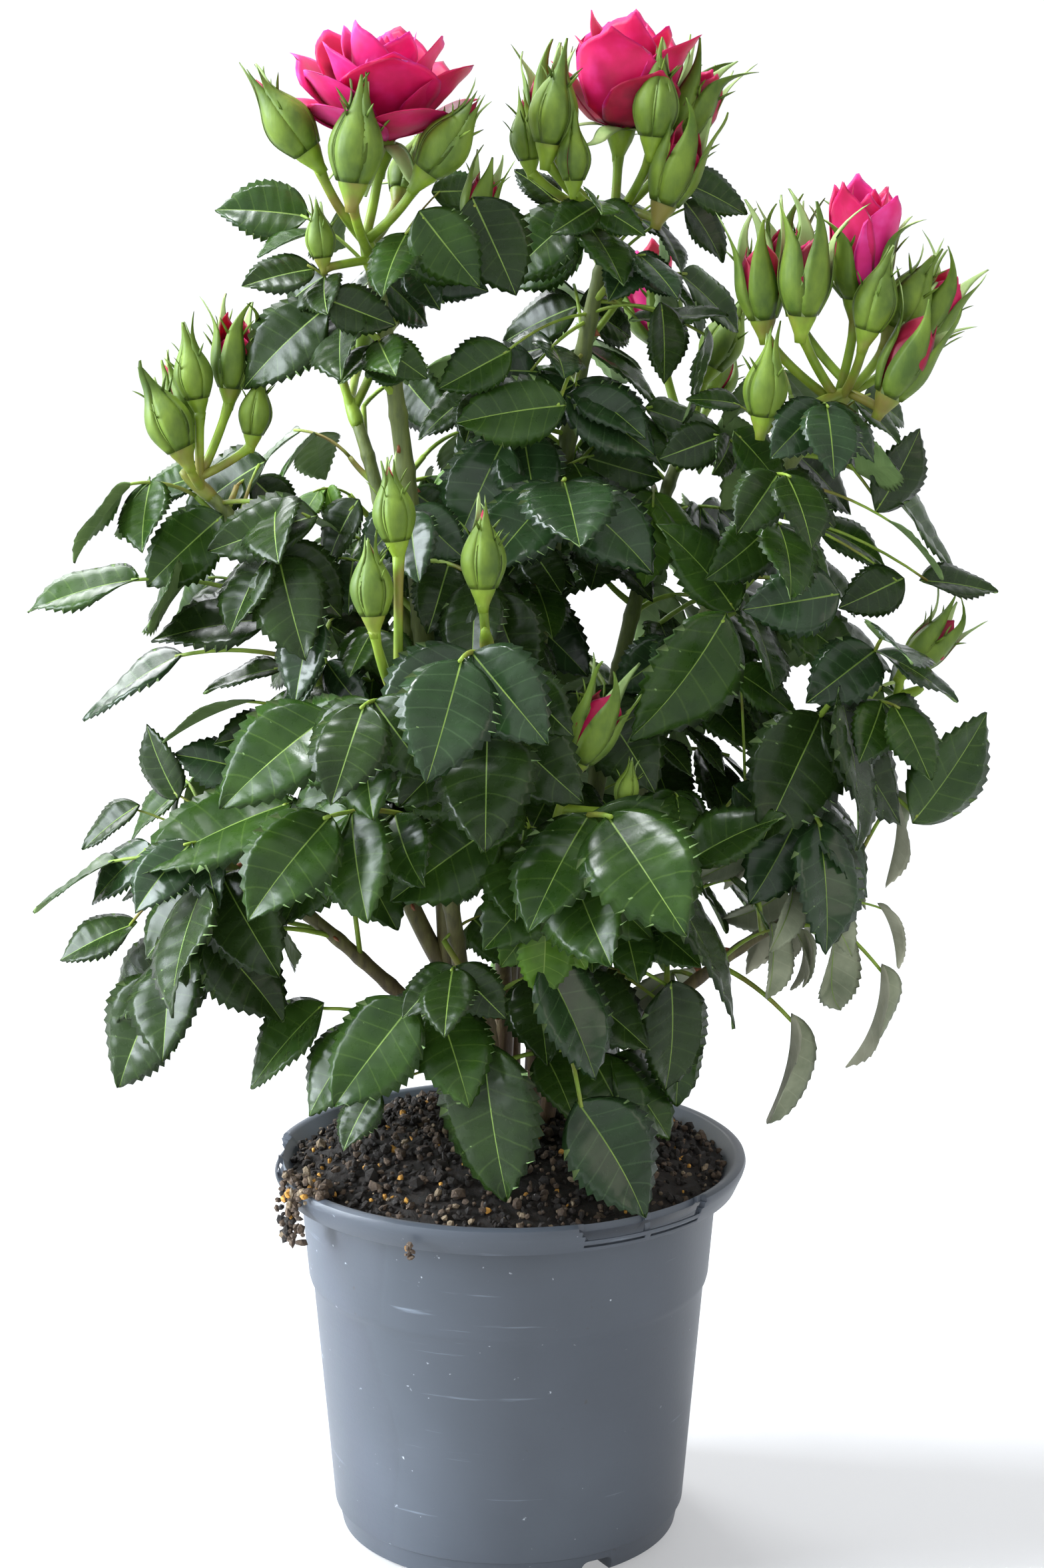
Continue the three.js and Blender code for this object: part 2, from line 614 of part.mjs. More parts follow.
// A leaf whose stalk arches from the bough to a joint, and whose end leaflet runs on to a tip.
function laidLeaf(start, joint, tip, plan) {
  const way = joint.clone().sub(start);
  const middle = start.clone().lerp(joint, 0.5).addScaledVector(SKY, LEAF.arch * way.length());
  const arch = new THREE.QuadraticBezierCurve3(start, middle, joint);
  const size = tip.distanceTo(joint);
  const along = tip.clone().sub(joint).normalize();
  const azimuth = THREE.MathUtils.radToDeg(Math.atan2(way.y, way.x));
  const slope = THREE.MathUtils.radToDeg(Math.asin(along.z)) * LEAF.laidSlopeKept - LEAF.laidHang;
  const leaflets = [];
  plan.pairs.forEach((place, k) => {
    for (const side of [-1, 1]) {
      const away = heading(azimuth + side * (LEAF.sideAngle - LEAF.sideFan * k), slope);
      leaflets.push(leaflet(arch.getPoint(place / plan.length), away, size * plan.sizes[k], plan));
    }
  });
  leaflets.push(leaflet(joint.clone().addScaledVector(along, -LEAF.sunk), along, size, plan));
  return { points: shares(4).map((share) => arch.getPoint(share)), leaflets };
}

// Places spread over a leaf, by which it is kept apart from all that is there already.
function leafPlaces(leaf) {
  const places = leaf.points.slice(1);
  for (const one of leaf.leaflets) {
    const across = one.along.clone().cross(one.face);
    for (const [u, v] of LEAF.places) {
      places.push(one.base.clone().addScaledVector(one.along, u * one.length)
        .addScaledVector(across, v * one.width));
    }
  }
  return places;
}

const takenPlaces = [];
const solidPlaces = [];

// Whether a place lies in the line of an opening, seen from in front.
function inOpening(place) {
  const [eyeX, eyeY, eyeZ] = OPENINGS.from;
  const share = eyeY / (eyeY - place.y);
  const [x, z] = [eyeX + (place.x - eyeX) * share, eyeZ + (place.z - eyeZ) * share];
  return OPENINGS.at.some(([midX, midZ, wide, high]) =>
    Math.hypot((x - midX) / wide, (z - midZ) / high) < 1);
}

// The height that leaves keep above the compost and the rim, and outside the rim the floor's.
function groundAt(radius, clearance) {
  if (radius >= POT.rimRadius + clearance) return 0;
  const share = (radius - SOIL.flatRadius) / (SOIL.leafRimward - SOIL.flatRadius);
  return lerp(SOIL.topZ, POT.height, Math.min(Math.max(share, 0), 1)) + SOIL.leafClear;
}

function isClear(places, start, clearance) {
  return places.every((p) => {
    if (inOpening(p) || p.z < groundAt(Math.hypot(p.x, p.y), clearance)) return false;
    if (takenPlaces.some((q) => p.distanceTo(q) < clearance)) return false;
    if (p.distanceTo(start) < LEAF.ownReach) return true;
    return !solidPlaces.some(({ place, gap }) => p.distanceTo(place) < gap);
  });
}

// Takes the first of some leaves that is clear of all that is there.
function firstClear(leaves, start, clearance) {
  for (const leaf of leaves) {
    const places = leafPlaces(leaf);
    if (!isClear(places, start, clearance)) continue;
    takenPlaces.push(...places);
    return [leaf];
  }
  return [];
}

// A bough's leaves that stand out, each moved forward or back until it is clear.
function ownLeavesOf(bough) {
  return (OWN_LEAVES[bough.name] ?? []).flatMap(([share, joint, tip, plan]) => {
    const start = curves.get(bough.name).getPoint(share);
    const leaves = LEAF.shifts.map((shift) => {
      const [end, point] = [joint, tip].map(([x, y, z]) => new THREE.Vector3(x, y + shift, z));
      return laidLeaf(start, end, point, LEAF[plan]);
    });
    return firstClear(leaves, start, LEAF.ownClearance);
  });
}

// A bough's other leaves turn on from one to the next by the same angle. One that would touch
// what is there is tried a little round, or up and down, before it is left out.
function leavesOf(bough, number) {
  return Array.from({ length: bough.leaves }, (_, i) => {
    const place = (i + SWAY.along * chance(number, i, 1)) / bough.leaves;
    const share = lerp(bough.bare + SWAY.from, SWAY.to, place);
    const start = curves.get(bough.name).getPoint(share);
    const up = (share - bough.bare) / (1 - bough.bare);
    const size = lerp(...bough.size, up) * lerp(...SWAY.size, chance(number, i, 2));
    const azimuth = bough.first + LEAF.turn * i + SWAY.turn * (chance(number, i, 3) - 0.5);
    const rise = bough.rise + SWAY.rise * (chance(number, i, 4) - 0.5) + SWAY.lift * up;
    const fall = bough.fall * lerp(...SWAY.fall, chance(number, i, 5));
    const plan = up > LEAF.threeFrom ? LEAF.three : LEAF.five;
    const leaves = LEAF.tries.map(([turn, tilt]) =>
      leafShape(start, azimuth + turn, rise + tilt, fall, size, plan));
    return firstClear(leaves, start, LEAF.clearance);
  }).flat();
}

function leafSolids(leaf) {
  const [foot, , middle, , end] = leaf.points;
  const control = middle.clone().multiplyScalar(2).addScaledVector(foot, -0.5).addScaledVector(end, -0.5);
  const rings = leaf.leaflets.length > 1 ? [[0.5, LEAF.stalk]] : [];
  const stalk = limb(new THREE.QuadraticBezierCurve3(foot, control, end),
    [[0, LEAF.stalkFoot], ...rings, [1, LEAF.stalk]], 3, DOWN);
  return [stalk, ...leaf.leaflets.map((one) => blade({ ...one, thick: one.length * LEAF.thickShare }))];
}

// ---- Trusses ----
// Turns a shape made along +Z to lean its way, and moves it to its neck.
function placed(solid, neck, way) {
  const turn = new THREE.Quaternion().setFromUnitVectors(SKY, way);
  return solid.transform(new THREE.Matrix4().compose(neck, turn, new THREE.Vector3(1, 1, 1)).elements);
}

function budSolids(size, kind, seed) {
  const body = turned(BUD.profile.map(([r, z]) => [r * size, z * size]), BUD.sides);
  const sepals = (kind === "split" && size >= BUD.sepalFrom ? [seed] : []).map((turn) => {
    const azimuth = 360 * turn;
    const along = heading(azimuth, 90 - BUD.tilt);
    const base = heading(azimuth, 0).multiplyScalar(BUD.sepalOut * size).setZ(BUD.sepalZ * size);
    return blade({ base, along, face: upSide(along), length: BUD.sepal * size,
      width: BUD.sepalWidth * size, thick: BUD.sepalThick * size });
  });
  return [body, ...sepals];
}

// A bloom is a cup with pointed petals round it, in two rows of different slope.
function bloomSolids(bloom, size) {
  const core = turned(bloom.profile.map(([r, z]) => [r * size, z * size]), BLOOM.petals);
  const petals = Array.from({ length: bloom.petals }, (_, i) => {
    const azimuth = (360 / bloom.petals) * i;
    const along = heading(azimuth, bloom.slopes[i % 2]);
    const base = heading(azimuth, 0).multiplyScalar(bloom.rootRadius * size).setZ(bloom.rootZ * size);
    return blade({ base, along, face: upSide(along), length: bloom.petalLength * size,
      width: bloom.petalWidth * size, thick: PETAL_THICK });
  });
  return [core, ...petals];
}

function headSolids(kind, size, seed) {
  if (kind === "bloom") return bloomSolids(BLOOM, size);
  if (kind === "cup") return bloomSolids(CUP, size);
  if (kind === "half") return bloomSolids(HALF, size);
  return budSolids(size, kind, seed);
}

const leanWay = ([right, back]) => new THREE.Vector3(right, back, 1).normalize();
const neckOf = ({ tip }, [right, back, up]) => new THREE.Vector3(tip[0] + right, tip[1] + back, tip[2] + up);

// Stalks fan out of a short knob that stands on the bough's tip, each with its bud or bloom.
function trussSolid(bough, heads, number) {
  const upward = curves.get(bough.name).getTangent(1);
  const tip = new THREE.Vector3(...bough.tip);
  const on = (height) => tip.clone().addScaledVector(upward, height);
  const radius = bough.thick[1];
  const core = new THREE.LineCurve3(on(GAP), on(KNOB.length + KNOB.past));
  const solids = [limb(core, [[0, radius], [1, radius * KNOB.taper]], KNOB.sides)];
  heads.forEach((head, i) => {
    const start = on(lerp(KNOB.start, KNOB.length, i / heads.length));
    const [right, back, up, lean, kind, size] = head;
    const [neck, way] = [neckOf(bough, head), leanWay(lean)];
    const bow = new THREE.Vector3(right, back, 0).multiplyScalar(HEAD_STALK.bow).setZ(-up * HEAD_STALK.dip);
    const middle = start.clone().lerp(neck, 0.5).add(bow);
    const end = neck.clone().addScaledVector(way, HEAD_STALK.into * size);
    const path = new THREE.QuadraticBezierCurve3(start, middle, end);
    solids.push(limb(path, [[0, HEAD_STALK.low], [1, HEAD_STALK.high]], 3));
    for (const solid of headSolids(kind, size, chance(number, i, 7))) solids.push(placed(solid, neck, way));
  });
  return join(solids);
}

// ---- Assembly ----
const plant = new THREE.Group();
const { pot, soil } = potSolids();
plant.add(meshOf("pot", pot, MATERIALS.pot));
plant.add(meshOf("compost", soil, MATERIALS.soil));

for (const bough of [...BOUGHS.filter((one) => one.foot), ...BOUGHS.filter((one) => one.from)]) {
  const curve = boughCurve(bough);
  curves.set(bough.name, curve);
  for (let i = 0; i <= STEPS; i++) {
    solidPlaces.push({ place: curve.getPoint(i / STEPS), gap: boughRadius(bough, i / STEPS) + LIMB_CLEAR });
  }
}
for (const bough of BOUGHS) {
  for (const head of TRUSSES[bough.name] ?? []) {
    const [, , , lean, kind, size] = head;
    const { reach, gap } = HEAD_PLACES[kind];
    for (const rise of reach) {
      const place = neckOf(bough, head).addScaledVector(leanWay(lean), rise * size);
      solidPlaces.push({ place, gap: gap * size });
    }
    const [tip, neck] = [new THREE.Vector3(...bough.tip), neckOf(bough, head)];
    for (const share of [0, 0.25, 0.5, 0.75]) {
      solidPlaces.push({ place: tip.clone().lerp(neck, share), gap: STALK_CLEAR });
    }
  }
}

// Every solid that has been placed, with the bough that it grows on.
const standing = [{ owner: "pot", solid: pot }, { owner: "pot", solid: soil }];

function isApart(solid, owner) {
  const { min, max } = solid.boundingBox();
  return standing.every((other) => {
    if (other.owner === owner) return true;
    const far = other.solid.boundingBox();
    if ([0, 1, 2].some((k) => max[k] + GAP < far.min[k] || far.max[k] + GAP < min[k])) return true;
    return solid.minGap(other.solid, 2 * GAP) > GAP;
  });
}

const stems = new Map();
for (const [number, bough] of BOUGHS.entries()) {
  const curve = curves.get(bough.name);
  const cut = GAP / 2 / curve.getLength();
  const part = (from, to, flare) =>
    shares(4).map((step, i) => {
      const share = lerp(from, to, step);
      return [share, boughRadius(bough, share) * (i === 0 ? flare : 1)];
    });
  const root = bough.foot ? -SOIL.rooted / curve.getLength() : 0;
  let cane = limb(curve, part(root, bough.bare - cut, bough.foot ? ROOT_FLARE : 1), 6);
  if (bough.foot) {
    const under = 2 * POT.rimRadius;
    cane = cane.subtract(box(under, under, under, 0, 0, SOIL.topZ + GAP - POT.rimRadius));
  } else {
    const parent = BOUGHS.find((one) => one.name === bough.from);
    const sleeve = shares(8).map((share) => [share, boughRadius(parent, share) + GAP]);
    cane = cane.subtract(limb(curves.get(parent.name), sleeve, 9));
  }
  plant.add(meshOf(`cane_${bough.name}`, cane, MATERIALS.bark));
  const stem = limb(curve, part(bough.bare + cut, 1, 1), 4);
  stems.set(bough.name, stem);
  standing.push({ owner: `cane of ${bough.name}`, solid: cane }, { owner: bough.name, solid: stem });
  if (TRUSSES[bough.name]) {
    const truss = trussSolid(bough, TRUSSES[bough.name], number);
    plant.add(meshOf(`truss_${bough.name}`, truss, MATERIALS.truss));
    standing.push({ owner: `truss of ${bough.name}`, solid: truss });
  }
}

// Leaves that stand out come first on every bough, so that the others grow round them.
const leavesOn = new Map(BOUGHS.map((bough) => [bough.name, []]));
for (const grow of [ownLeavesOf, leavesOf]) {
  for (const [number, bough] of [...BOUGHS.entries()].reverse()) {
    const leaves = grow(bough, number)
      .map((leaf) => join(leafSolids(leaf)))
      .filter((solid) => isApart(solid, bough.name));
    standing.push(...leaves.map((solid) => ({ owner: bough.name, solid })));
    leavesOn.get(bough.name).push(...leaves);
  }
}
for (const { name } of BOUGHS) {
  plant.add(meshOf(`leaves_${name}`, join([stems.get(name), ...leavesOn.get(name)]), MATERIALS.leaf));
}

export default plant;
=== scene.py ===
# A patio rose in its round nursery pot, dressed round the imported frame.
# Sizes are in millimetres until a mesh is made, with +Z up and -Y to the front.
import math

import bpy
import numpy as np
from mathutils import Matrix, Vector


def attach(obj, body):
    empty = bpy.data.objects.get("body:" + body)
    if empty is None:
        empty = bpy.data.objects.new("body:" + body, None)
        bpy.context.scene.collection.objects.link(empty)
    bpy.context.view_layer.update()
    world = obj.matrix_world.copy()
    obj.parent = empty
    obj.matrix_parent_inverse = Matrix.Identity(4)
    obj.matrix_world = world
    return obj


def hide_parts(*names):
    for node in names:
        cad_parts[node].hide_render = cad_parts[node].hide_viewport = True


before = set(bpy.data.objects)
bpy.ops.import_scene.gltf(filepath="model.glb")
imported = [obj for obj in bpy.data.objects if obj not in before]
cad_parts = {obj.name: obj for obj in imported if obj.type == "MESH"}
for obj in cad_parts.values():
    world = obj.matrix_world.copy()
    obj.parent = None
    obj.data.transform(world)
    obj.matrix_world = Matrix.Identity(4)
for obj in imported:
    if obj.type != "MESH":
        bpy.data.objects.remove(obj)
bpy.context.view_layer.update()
bpy.ops.object.select_all(action="DESELECT")

# ---- Pot ----
# A thin nursery pot, moulded in one shot from blue-grey polypropylene. Its wall steps in at a
# shoulder so that pots nest, its rim is turned out and down with three slots for labels, and
# its foot stands on pads between arches that let water run away.
MM = 0.001
FOOT_RADIUS = 48.6
FOOT_BAND = 7
NECK_RADIUS = 57.2
MOUTH_RADIUS = 61.6
RIM_RADIUS = 65
RIM_LOW = 98.5
RIM_TOP = 106
SHOULDER_Z = 70
SHOULDER_RISE = 3
SHOULDER_STEP = 1
WALL = 1.4
POT_SIDES = 144
ARCH = {"count": 2, "first": -59.5, "width": 9.5, "height": 4.5, "inner": 30, "round": 2, "drain": 3.2}
LABEL_SLOT = {"count": 3, "first": -55, "spread": 34, "depth": 4.4, "rib": 1.8, "ramp": 1.6}


def body_radius(z):
    """The pot wall's outer radius at a height between the foot band and the rim."""
    return FOOT_RADIUS + (NECK_RADIUS - SHOULDER_STEP - FOOT_RADIUS) * (z - FOOT_BAND) / (RIM_LOW - FOOT_BAND)


def turned(name, sides, profile):
    """A ring drawn through each radius and height of a profile, and closed at both ends."""
    radius, height = profile[0]
    bpy.ops.mesh.primitive_circle_add(vertices=sides, radius=radius * MM, location=(0, 0, 0))
    piece = bpy.context.object
    piece.name = name
    bpy.ops.object.mode_set(mode="EDIT")
    bpy.ops.mesh.select_all(action="SELECT")
    bpy.ops.transform.translate(value=(0, 0, height * MM))
    for next_radius, next_height in profile[1:]:
        rise = (0, 0, (next_height - height) * MM)
        bpy.ops.mesh.extrude_region_move(TRANSFORM_OT_translate={"value": rise})
        share = next_radius / radius
        bpy.ops.transform.resize(value=(share, share, 1), center_override=(0, 0, 0))
        radius, height = next_radius, next_height
    bpy.ops.mesh.select_all(action="SELECT")
    bpy.ops.mesh.fill_holes(sides=0)
    bpy.ops.mesh.select_all(action="SELECT")
    bpy.ops.mesh.normals_make_consistent(inside=False)
    bpy.ops.object.mode_set(mode="OBJECT")
    return piece


def cut(piece, cutter):
    """Takes the cutter out of the piece and removes it."""
    modifier = piece.modifiers.new("cut", "BOOLEAN")
    modifier.object = cutter
    modifier.solver = "EXACT"
    bpy.context.view_layer.objects.active = piece
    bpy.ops.object.modifier_apply(modifier=modifier.name)
    bpy.data.objects.remove(cutter)


def turn_to(piece, azimuth):
    """Turns a piece about the pot's axis and leaves its object unturned."""
    bpy.ops.object.select_all(action="DESELECT")
    piece.select_set(True)
    bpy.context.view_layer.objects.active = piece
    piece.rotation_euler = (0, 0, math.radians(azimuth))
    bpy.ops.object.transform_apply(location=True, rotation=True, scale=True)


def arc_bar(inner, outer, low, high, azimuth, spread):
    """A bar bent round the pot's axis: its section is spun through the spread."""
    bpy.ops.mesh.primitive_plane_add(size=1, location=(0, 0, 0))
    bar = bpy.context.object
    bpy.ops.object.mode_set(mode="EDIT")
    bpy.ops.mesh.select_all(action="SELECT")
    bpy.ops.transform.resize(value=((outer - inner) * MM, (high - low) * MM, 1), center_override=(0, 0, 0))
    bpy.ops.transform.rotate(value=math.pi / 2, orient_axis="X", center_override=(0, 0, 0))
    bpy.ops.transform.translate(value=((outer + inner) / 2 * MM, 0, (high + low) / 2 * MM))
    bpy.ops.mesh.spin(steps=14, angle=math.radians(spread), center=(0, 0, 0), axis=(0, 0, 1))
    bpy.ops.mesh.select_all(action="SELECT")
    bpy.ops.mesh.remove_doubles(threshold=1e-6)
    bpy.ops.mesh.fill_holes(sides=0)
    bpy.ops.mesh.select_all(action="SELECT")
    bpy.ops.mesh.normals_make_consistent(inside=False)
    bpy.ops.object.mode_set(mode="OBJECT")
    middle = math.degrees(math.atan2(*reversed(centre_of(bar)[:2])))
    turn_to(bar, azimuth - middle)
    return bar


def centre_of(piece):
    """The middle of a mesh's corners."""
    places = np.empty(len(piece.data.vertices) * 3)
    piece.data.vertices.foreach_get("co", places)
    return places.reshape(-1, 3).mean(axis=0)


def around(row):
    """The azimuths of what repeats evenly round the pot."""
    return [row["first"] + 360 / row["count"] * i for i in range(row["count"])]


skirt_in = RIM_RADIUS - WALL
below_shoulder = body_radius(SHOULDER_Z)
above_shoulder = body_radius(SHOULDER_Z + SHOULDER_RISE) + SHOULDER_STEP
pot = turned("nursery_pot", POT_SIDES, [
    (1, 0), (FOOT_RADIUS - 3, 0), (FOOT_RADIUS - 2, 0.7), (FOOT_RADIUS - 0.8, FOOT_BAND - 0.6),
    (FOOT_RADIUS, FOOT_BAND), (body_radius(38), 38), (below_shoulder, SHOULDER_Z),
    (body_radius(SHOULDER_Z + 1.4) + 0.7, SHOULDER_Z + 1.4), (above_shoulder, SHOULDER_Z + SHOULDER_RISE),
    (NECK_RADIUS, RIM_LOW), (MOUTH_RADIUS + 0.9, RIM_TOP - 1.7), (skirt_in - 0.3, RIM_TOP - 1.7),
    (skirt_in - 2.3, RIM_LOW), (RIM_RADIUS - 2.5, RIM_LOW - 0.1), (RIM_RADIUS - 0.4, RIM_TOP - 3),
    (RIM_RADIUS, RIM_TOP - 1.6), (RIM_RADIUS - 0.3, RIM_TOP - 0.6), (RIM_RADIUS - 1.1, RIM_TOP - 0.05),
    (MOUTH_RADIUS + 1.1, RIM_TOP), (MOUTH_RADIUS + 0.2, RIM_TOP - 0.5), (NECK_RADIUS - WALL, RIM_LOW),
    (above_shoulder - WALL, SHOULDER_Z + SHOULDER_RISE), (below_shoulder - WALL, SHOULDER_Z),
    (FOOT_RADIUS - 0.6 - WALL, FOOT_BAND), (1, FOOT_BAND),
])

for azimuth in around(ARCH):
    bpy.ops.mesh.primitive_cube_add(size=1, location=(0, 0, 0))
    arch = bpy.context.object
    bpy.ops.object.mode_set(mode="EDIT")
    bpy.ops.mesh.select_all(action="SELECT")
    reach = RIM_RADIUS - ARCH["inner"]
    bpy.ops.transform.resize(value=(reach * MM, ARCH["width"] * MM, 2 * ARCH["height"] * MM),
                             center_override=(0, 0, 0))
    bpy.ops.transform.translate(value=((ARCH["inner"] + reach / 2) * MM, 0, 0))
    bpy.ops.object.mode_set(mode="OBJECT")
    for edge in arch.data.edges:
        ends = [arch.data.vertices[i].co for i in edge.vertices]
        edge.select = all(end.z > 0 for end in ends) and abs(ends[0].y - ends[1].y) < MM
    bpy.ops.object.mode_set(mode="EDIT")
    bpy.ops.mesh.select_mode(type="EDGE")
    bpy.ops.mesh.bevel(offset=ARCH["round"] * MM, segments=4)
    bpy.ops.mesh.select_mode(type="VERT")
    bpy.ops.object.mode_set(mode="OBJECT")
    turn_to(arch, azimuth)
    cut(pot, arch)
    bpy.ops.mesh.primitive_cylinder_add(vertices=24, radius=ARCH["drain"] * MM, depth=0.03,
                                        location=((ARCH["inner"] + 8) * MM, 0, 0.01))
    drain = bpy.context.object
    turn_to(drain, azimuth)
    cut(pot, drain)

for azimuth in around(LABEL_SLOT):
    half = LABEL_SLOT["spread"] / 2
    for side in (-1, 1):
        rib = math.degrees(LABEL_SLOT["rib"] / 2 / RIM_RADIUS)
        middle = azimuth + side * (half + rib) / 2
        cut(pot, arc_bar(skirt_in - 1.9, skirt_in - 0.25, RIM_LOW + 1, RIM_TOP + 3, middle, half - rib))
    for step in range(3):
        low = RIM_TOP - LABEL_SLOT["depth"] * (1 - step / 3)
        wide = LABEL_SLOT["spread"] + LABEL_SLOT["ramp"] * step
        cut(pot, arc_bar(skirt_in - 0.6, RIM_RADIUS + 3, low, RIM_TOP + 4, azimuth, wide))

bevel = pot.modifiers.new("edges", "BEVEL")
bevel.width = 0.22 * MM
bevel.segments = 2
bevel.limit_method = "ANGLE"
bevel.angle_limit = math.radians(40)
bpy.context.view_layer.objects.active = pot
bpy.ops.object.modifier_apply(modifier=bevel.name)
bpy.ops.object.select_all(action="DESELECT")
pot.select_set(True)
bpy.ops.object.shade_smooth_by_angle(angle=math.radians(35))


def colour(red, green, blue):
    """A shader colour from the usual 0 to 255 screen values."""
    shares = [value / 255 for value in (red, green, blue)]
    return [*(((c + 0.055) / 1.055) ** 2.4 if c > 0.04 else c / 12.92 for c in shares), 1]


def new_finish(name, **constants):
    """A material, its nodes, its links and its shader, with the shader's constants set on it."""
    material = bpy.data.materials.new(name)
    material.use_nodes = True
    nodes = material.node_tree.nodes
    shader = nodes["Principled BSDF"]
    for socket, value in constants.items():
        shader.inputs[socket.replace("_", " ").title()].default_value = value
    return material, nodes, material.node_tree.links, shader


def grain(nodes, links, scale, detail=4, stretch=(1, 1, 1), rough=0.55):
    """Noise on the piece's own coordinates, as cells to the metre."""
    place = nodes.new("ShaderNodeTexCoord")
    mapping = nodes.new("ShaderNodeMapping")
    mapping.inputs["Scale"].default_value = stretch
    noise = nodes.new("ShaderNodeTexNoise")
    noise.inputs["Scale"].default_value = scale
    noise.inputs["Detail"].default_value = detail
    noise.inputs["Roughness"].default_value = rough
    links.new(place.outputs["Object"], mapping.inputs["Vector"])
    links.new(mapping.outputs["Vector"], noise.inputs["Vector"])
    return noise.outputs["Fac"]


def tinted(nodes, links, value, stops):
    """A ramp of colours over a value, as (place, colour) stops."""
    ramp = nodes.new("ShaderNodeValToRGB")
    links.new(value, ramp.inputs["Fac"])
    first, *middle, last = stops
    ramp.color_ramp.elements[0].position, ramp.color_ramp.elements[0].color = first
    ramp.color_ramp.elements[1].position, ramp.color_ramp.elements[1].color = last
    for place, tone in middle:
        ramp.color_ramp.elements.new(place).color = tone
    return ramp.outputs["Color"]


def spread(nodes, links, value, low, high, start=0.3, end=0.7):
    """A value taken from one range to another."""
    node = nodes.new("ShaderNodeMapRange")
    for socket, number in (("From Min", start), ("From Max", end), ("To Min", low), ("To Max", high)):
        node.inputs[socket].default_value = number
    links.new(value, node.inputs["Value"])
    return node.outputs["Result"]


def raised(nodes, links, shader, value, strength, distance):
    """Bump from a value, in metres, on top of any bump that the shader has already."""
    bump = nodes.new("ShaderNodeBump")
    bump.inputs["Strength"].default_value = strength
    bump.inputs["Distance"].default_value = distance
    links.new(value, bump.inputs["Height"])
    for link in list(shader.inputs["Normal"].links):
        links.new(link.from_socket, bump.inputs["Normal"])
    links.new(bump.outputs["Normal"], shader.inputs["Normal"])


def mixed(nodes, links, share, first, second):
    """One colour over another, by a share."""
    node = nodes.new("ShaderNodeMix")
    node.data_type = "RGBA"
    links.new(share, node.inputs["Factor"])
    for socket, value in ((node.inputs[6], first), (node.inputs[7], second)):
        if isinstance(value, list):
            socket.default_value = value
        else:
            links.new(value, socket)
    return node.outputs[2]


plastic, nodes, links, shader = new_finish("Blue grey polypropylene")
cloudy = grain(nodes, links, 14, 3)
scratch = grain(nodes, links, 55, 5, (0.5, 0.5, 9))
skin = tinted(nodes, links, cloudy, [(0.3, colour(58, 64, 72)), (0.52, colour(65, 71, 80)),
                                     (0.75, colour(73, 80, 89))])
# Scratches, pale scuffs and specks of dirt: how much of each, and where its noise starts and ends.
for marks, most, start, end, tone in (
        (scratch, 0.45, 0.66, 0.78, colour(138, 150, 164)),
        (grain(nodes, links, 420, 2), 0.8, 0.74, 0.8, colour(186, 192, 200)),
        (grain(nodes, links, 260, 2, (1, 1, 0.8)), 0.7, 0.74, 0.8, colour(58, 56, 54))):
    skin = mixed(nodes, links, spread(nodes, links, marks, 0, most, start, end), skin, tone)
links.new(skin, shader.inputs["Base Color"])
links.new(spread(nodes, links, cloudy, 0.4, 0.56), shader.inputs["Roughness"])
raised(nodes, links, shader, grain(nodes, links, 900, 3), 0.12, 0.0002)
raised(nodes, links, shader, scratch, 0.1, 0.0004)
pot.data.materials.clear()
pot.data.materials.append(plastic)
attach(pot, "root")
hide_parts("pot")

# ---- Compost ----
# Peat-based potting compost, nearly black where it is damp, mounded round the canes. Dry tan
# crumbs and a few golden chips lie on it, and a clump has been pushed out over the rim.
SOIL_TOP = 113
SOIL_EDGE = 102.4
SOIL_FLAT = 31
SOIL_SLOPE = 46
SOIL_RADIUS = 59
SOIL_SIDES = 200
LUMPS = ((9, 3.4), (3.2, 2.6), (1.3, 1.5))


def soil_height(radius):
    """The height of the mound's surface at a distance from the pot's axis."""
    radii = [0, SOIL_FLAT, SOIL_SLOPE, SOIL_RADIUS]
    return float(np.interp(radius, radii, [SOIL_TOP, SOIL_TOP, SOIL_EDGE + 5.5, SOIL_EDGE]))


soil = turned("potting_mix", SOIL_SIDES, [
    (1, FOOT_BAND + 0.4), (FOOT_RADIUS - 2.4, FOOT_BAND + 0.4),
    (below_shoulder - WALL - 0.4, SHOULDER_Z), (55.3, RIM_LOW),
    *[(radius, soil_height(radius)) for radius in np.linspace(SOIL_RADIUS, 1, 56)],
])
top = soil.vertex_groups.new(name="top")
on_top = [v.index for v in soil.data.vertices
          if v.co.z > (RIM_LOW + 1) * MM and v.co.xy.length < (SOIL_RADIUS - 1) * MM]
top.add(on_top, 1, "REPLACE")
for size, height in LUMPS:
    lumps = bpy.data.textures.new("lumps", "CLOUDS")
    lumps.noise_scale = size * MM
    lumps.noise_depth = 2
    displace = soil.modifiers.new("lumps", "DISPLACE")
    displace.texture = lumps
    displace.texture_coords = "LOCAL"
    displace.direction = "NORMAL"
    displace.vertex_group = "top"
    displace.strength = height * MM
    displace.mid_level = 0.55
    bpy.context.view_layer.objects.active = soil
    bpy.ops.object.modifier_apply(modifier=displace.name)
bpy.ops.object.select_all(action="DESELECT")
soil.select_set(True)
bpy.ops.object.shade_smooth()


def earth(name, dark, light, bump):
    """Compost of one tone, crumbly and without gloss."""
    material, nodes, links, shader = new_finish(name)
    lumps = grain(nodes, links, 700, 6, rough=0.7)
    links.new(tinted(nodes, links, lumps, [(0.35, dark), (0.7, light)]), shader.inputs["Base Color"])
    links.new(spread(nodes, links, lumps, 0.75, 1), shader.inputs["Roughness"])
    raised(nodes, links, shader, grain(nodes, links, 1600, 5, rough=0.7), 0.8, bump)
    return material


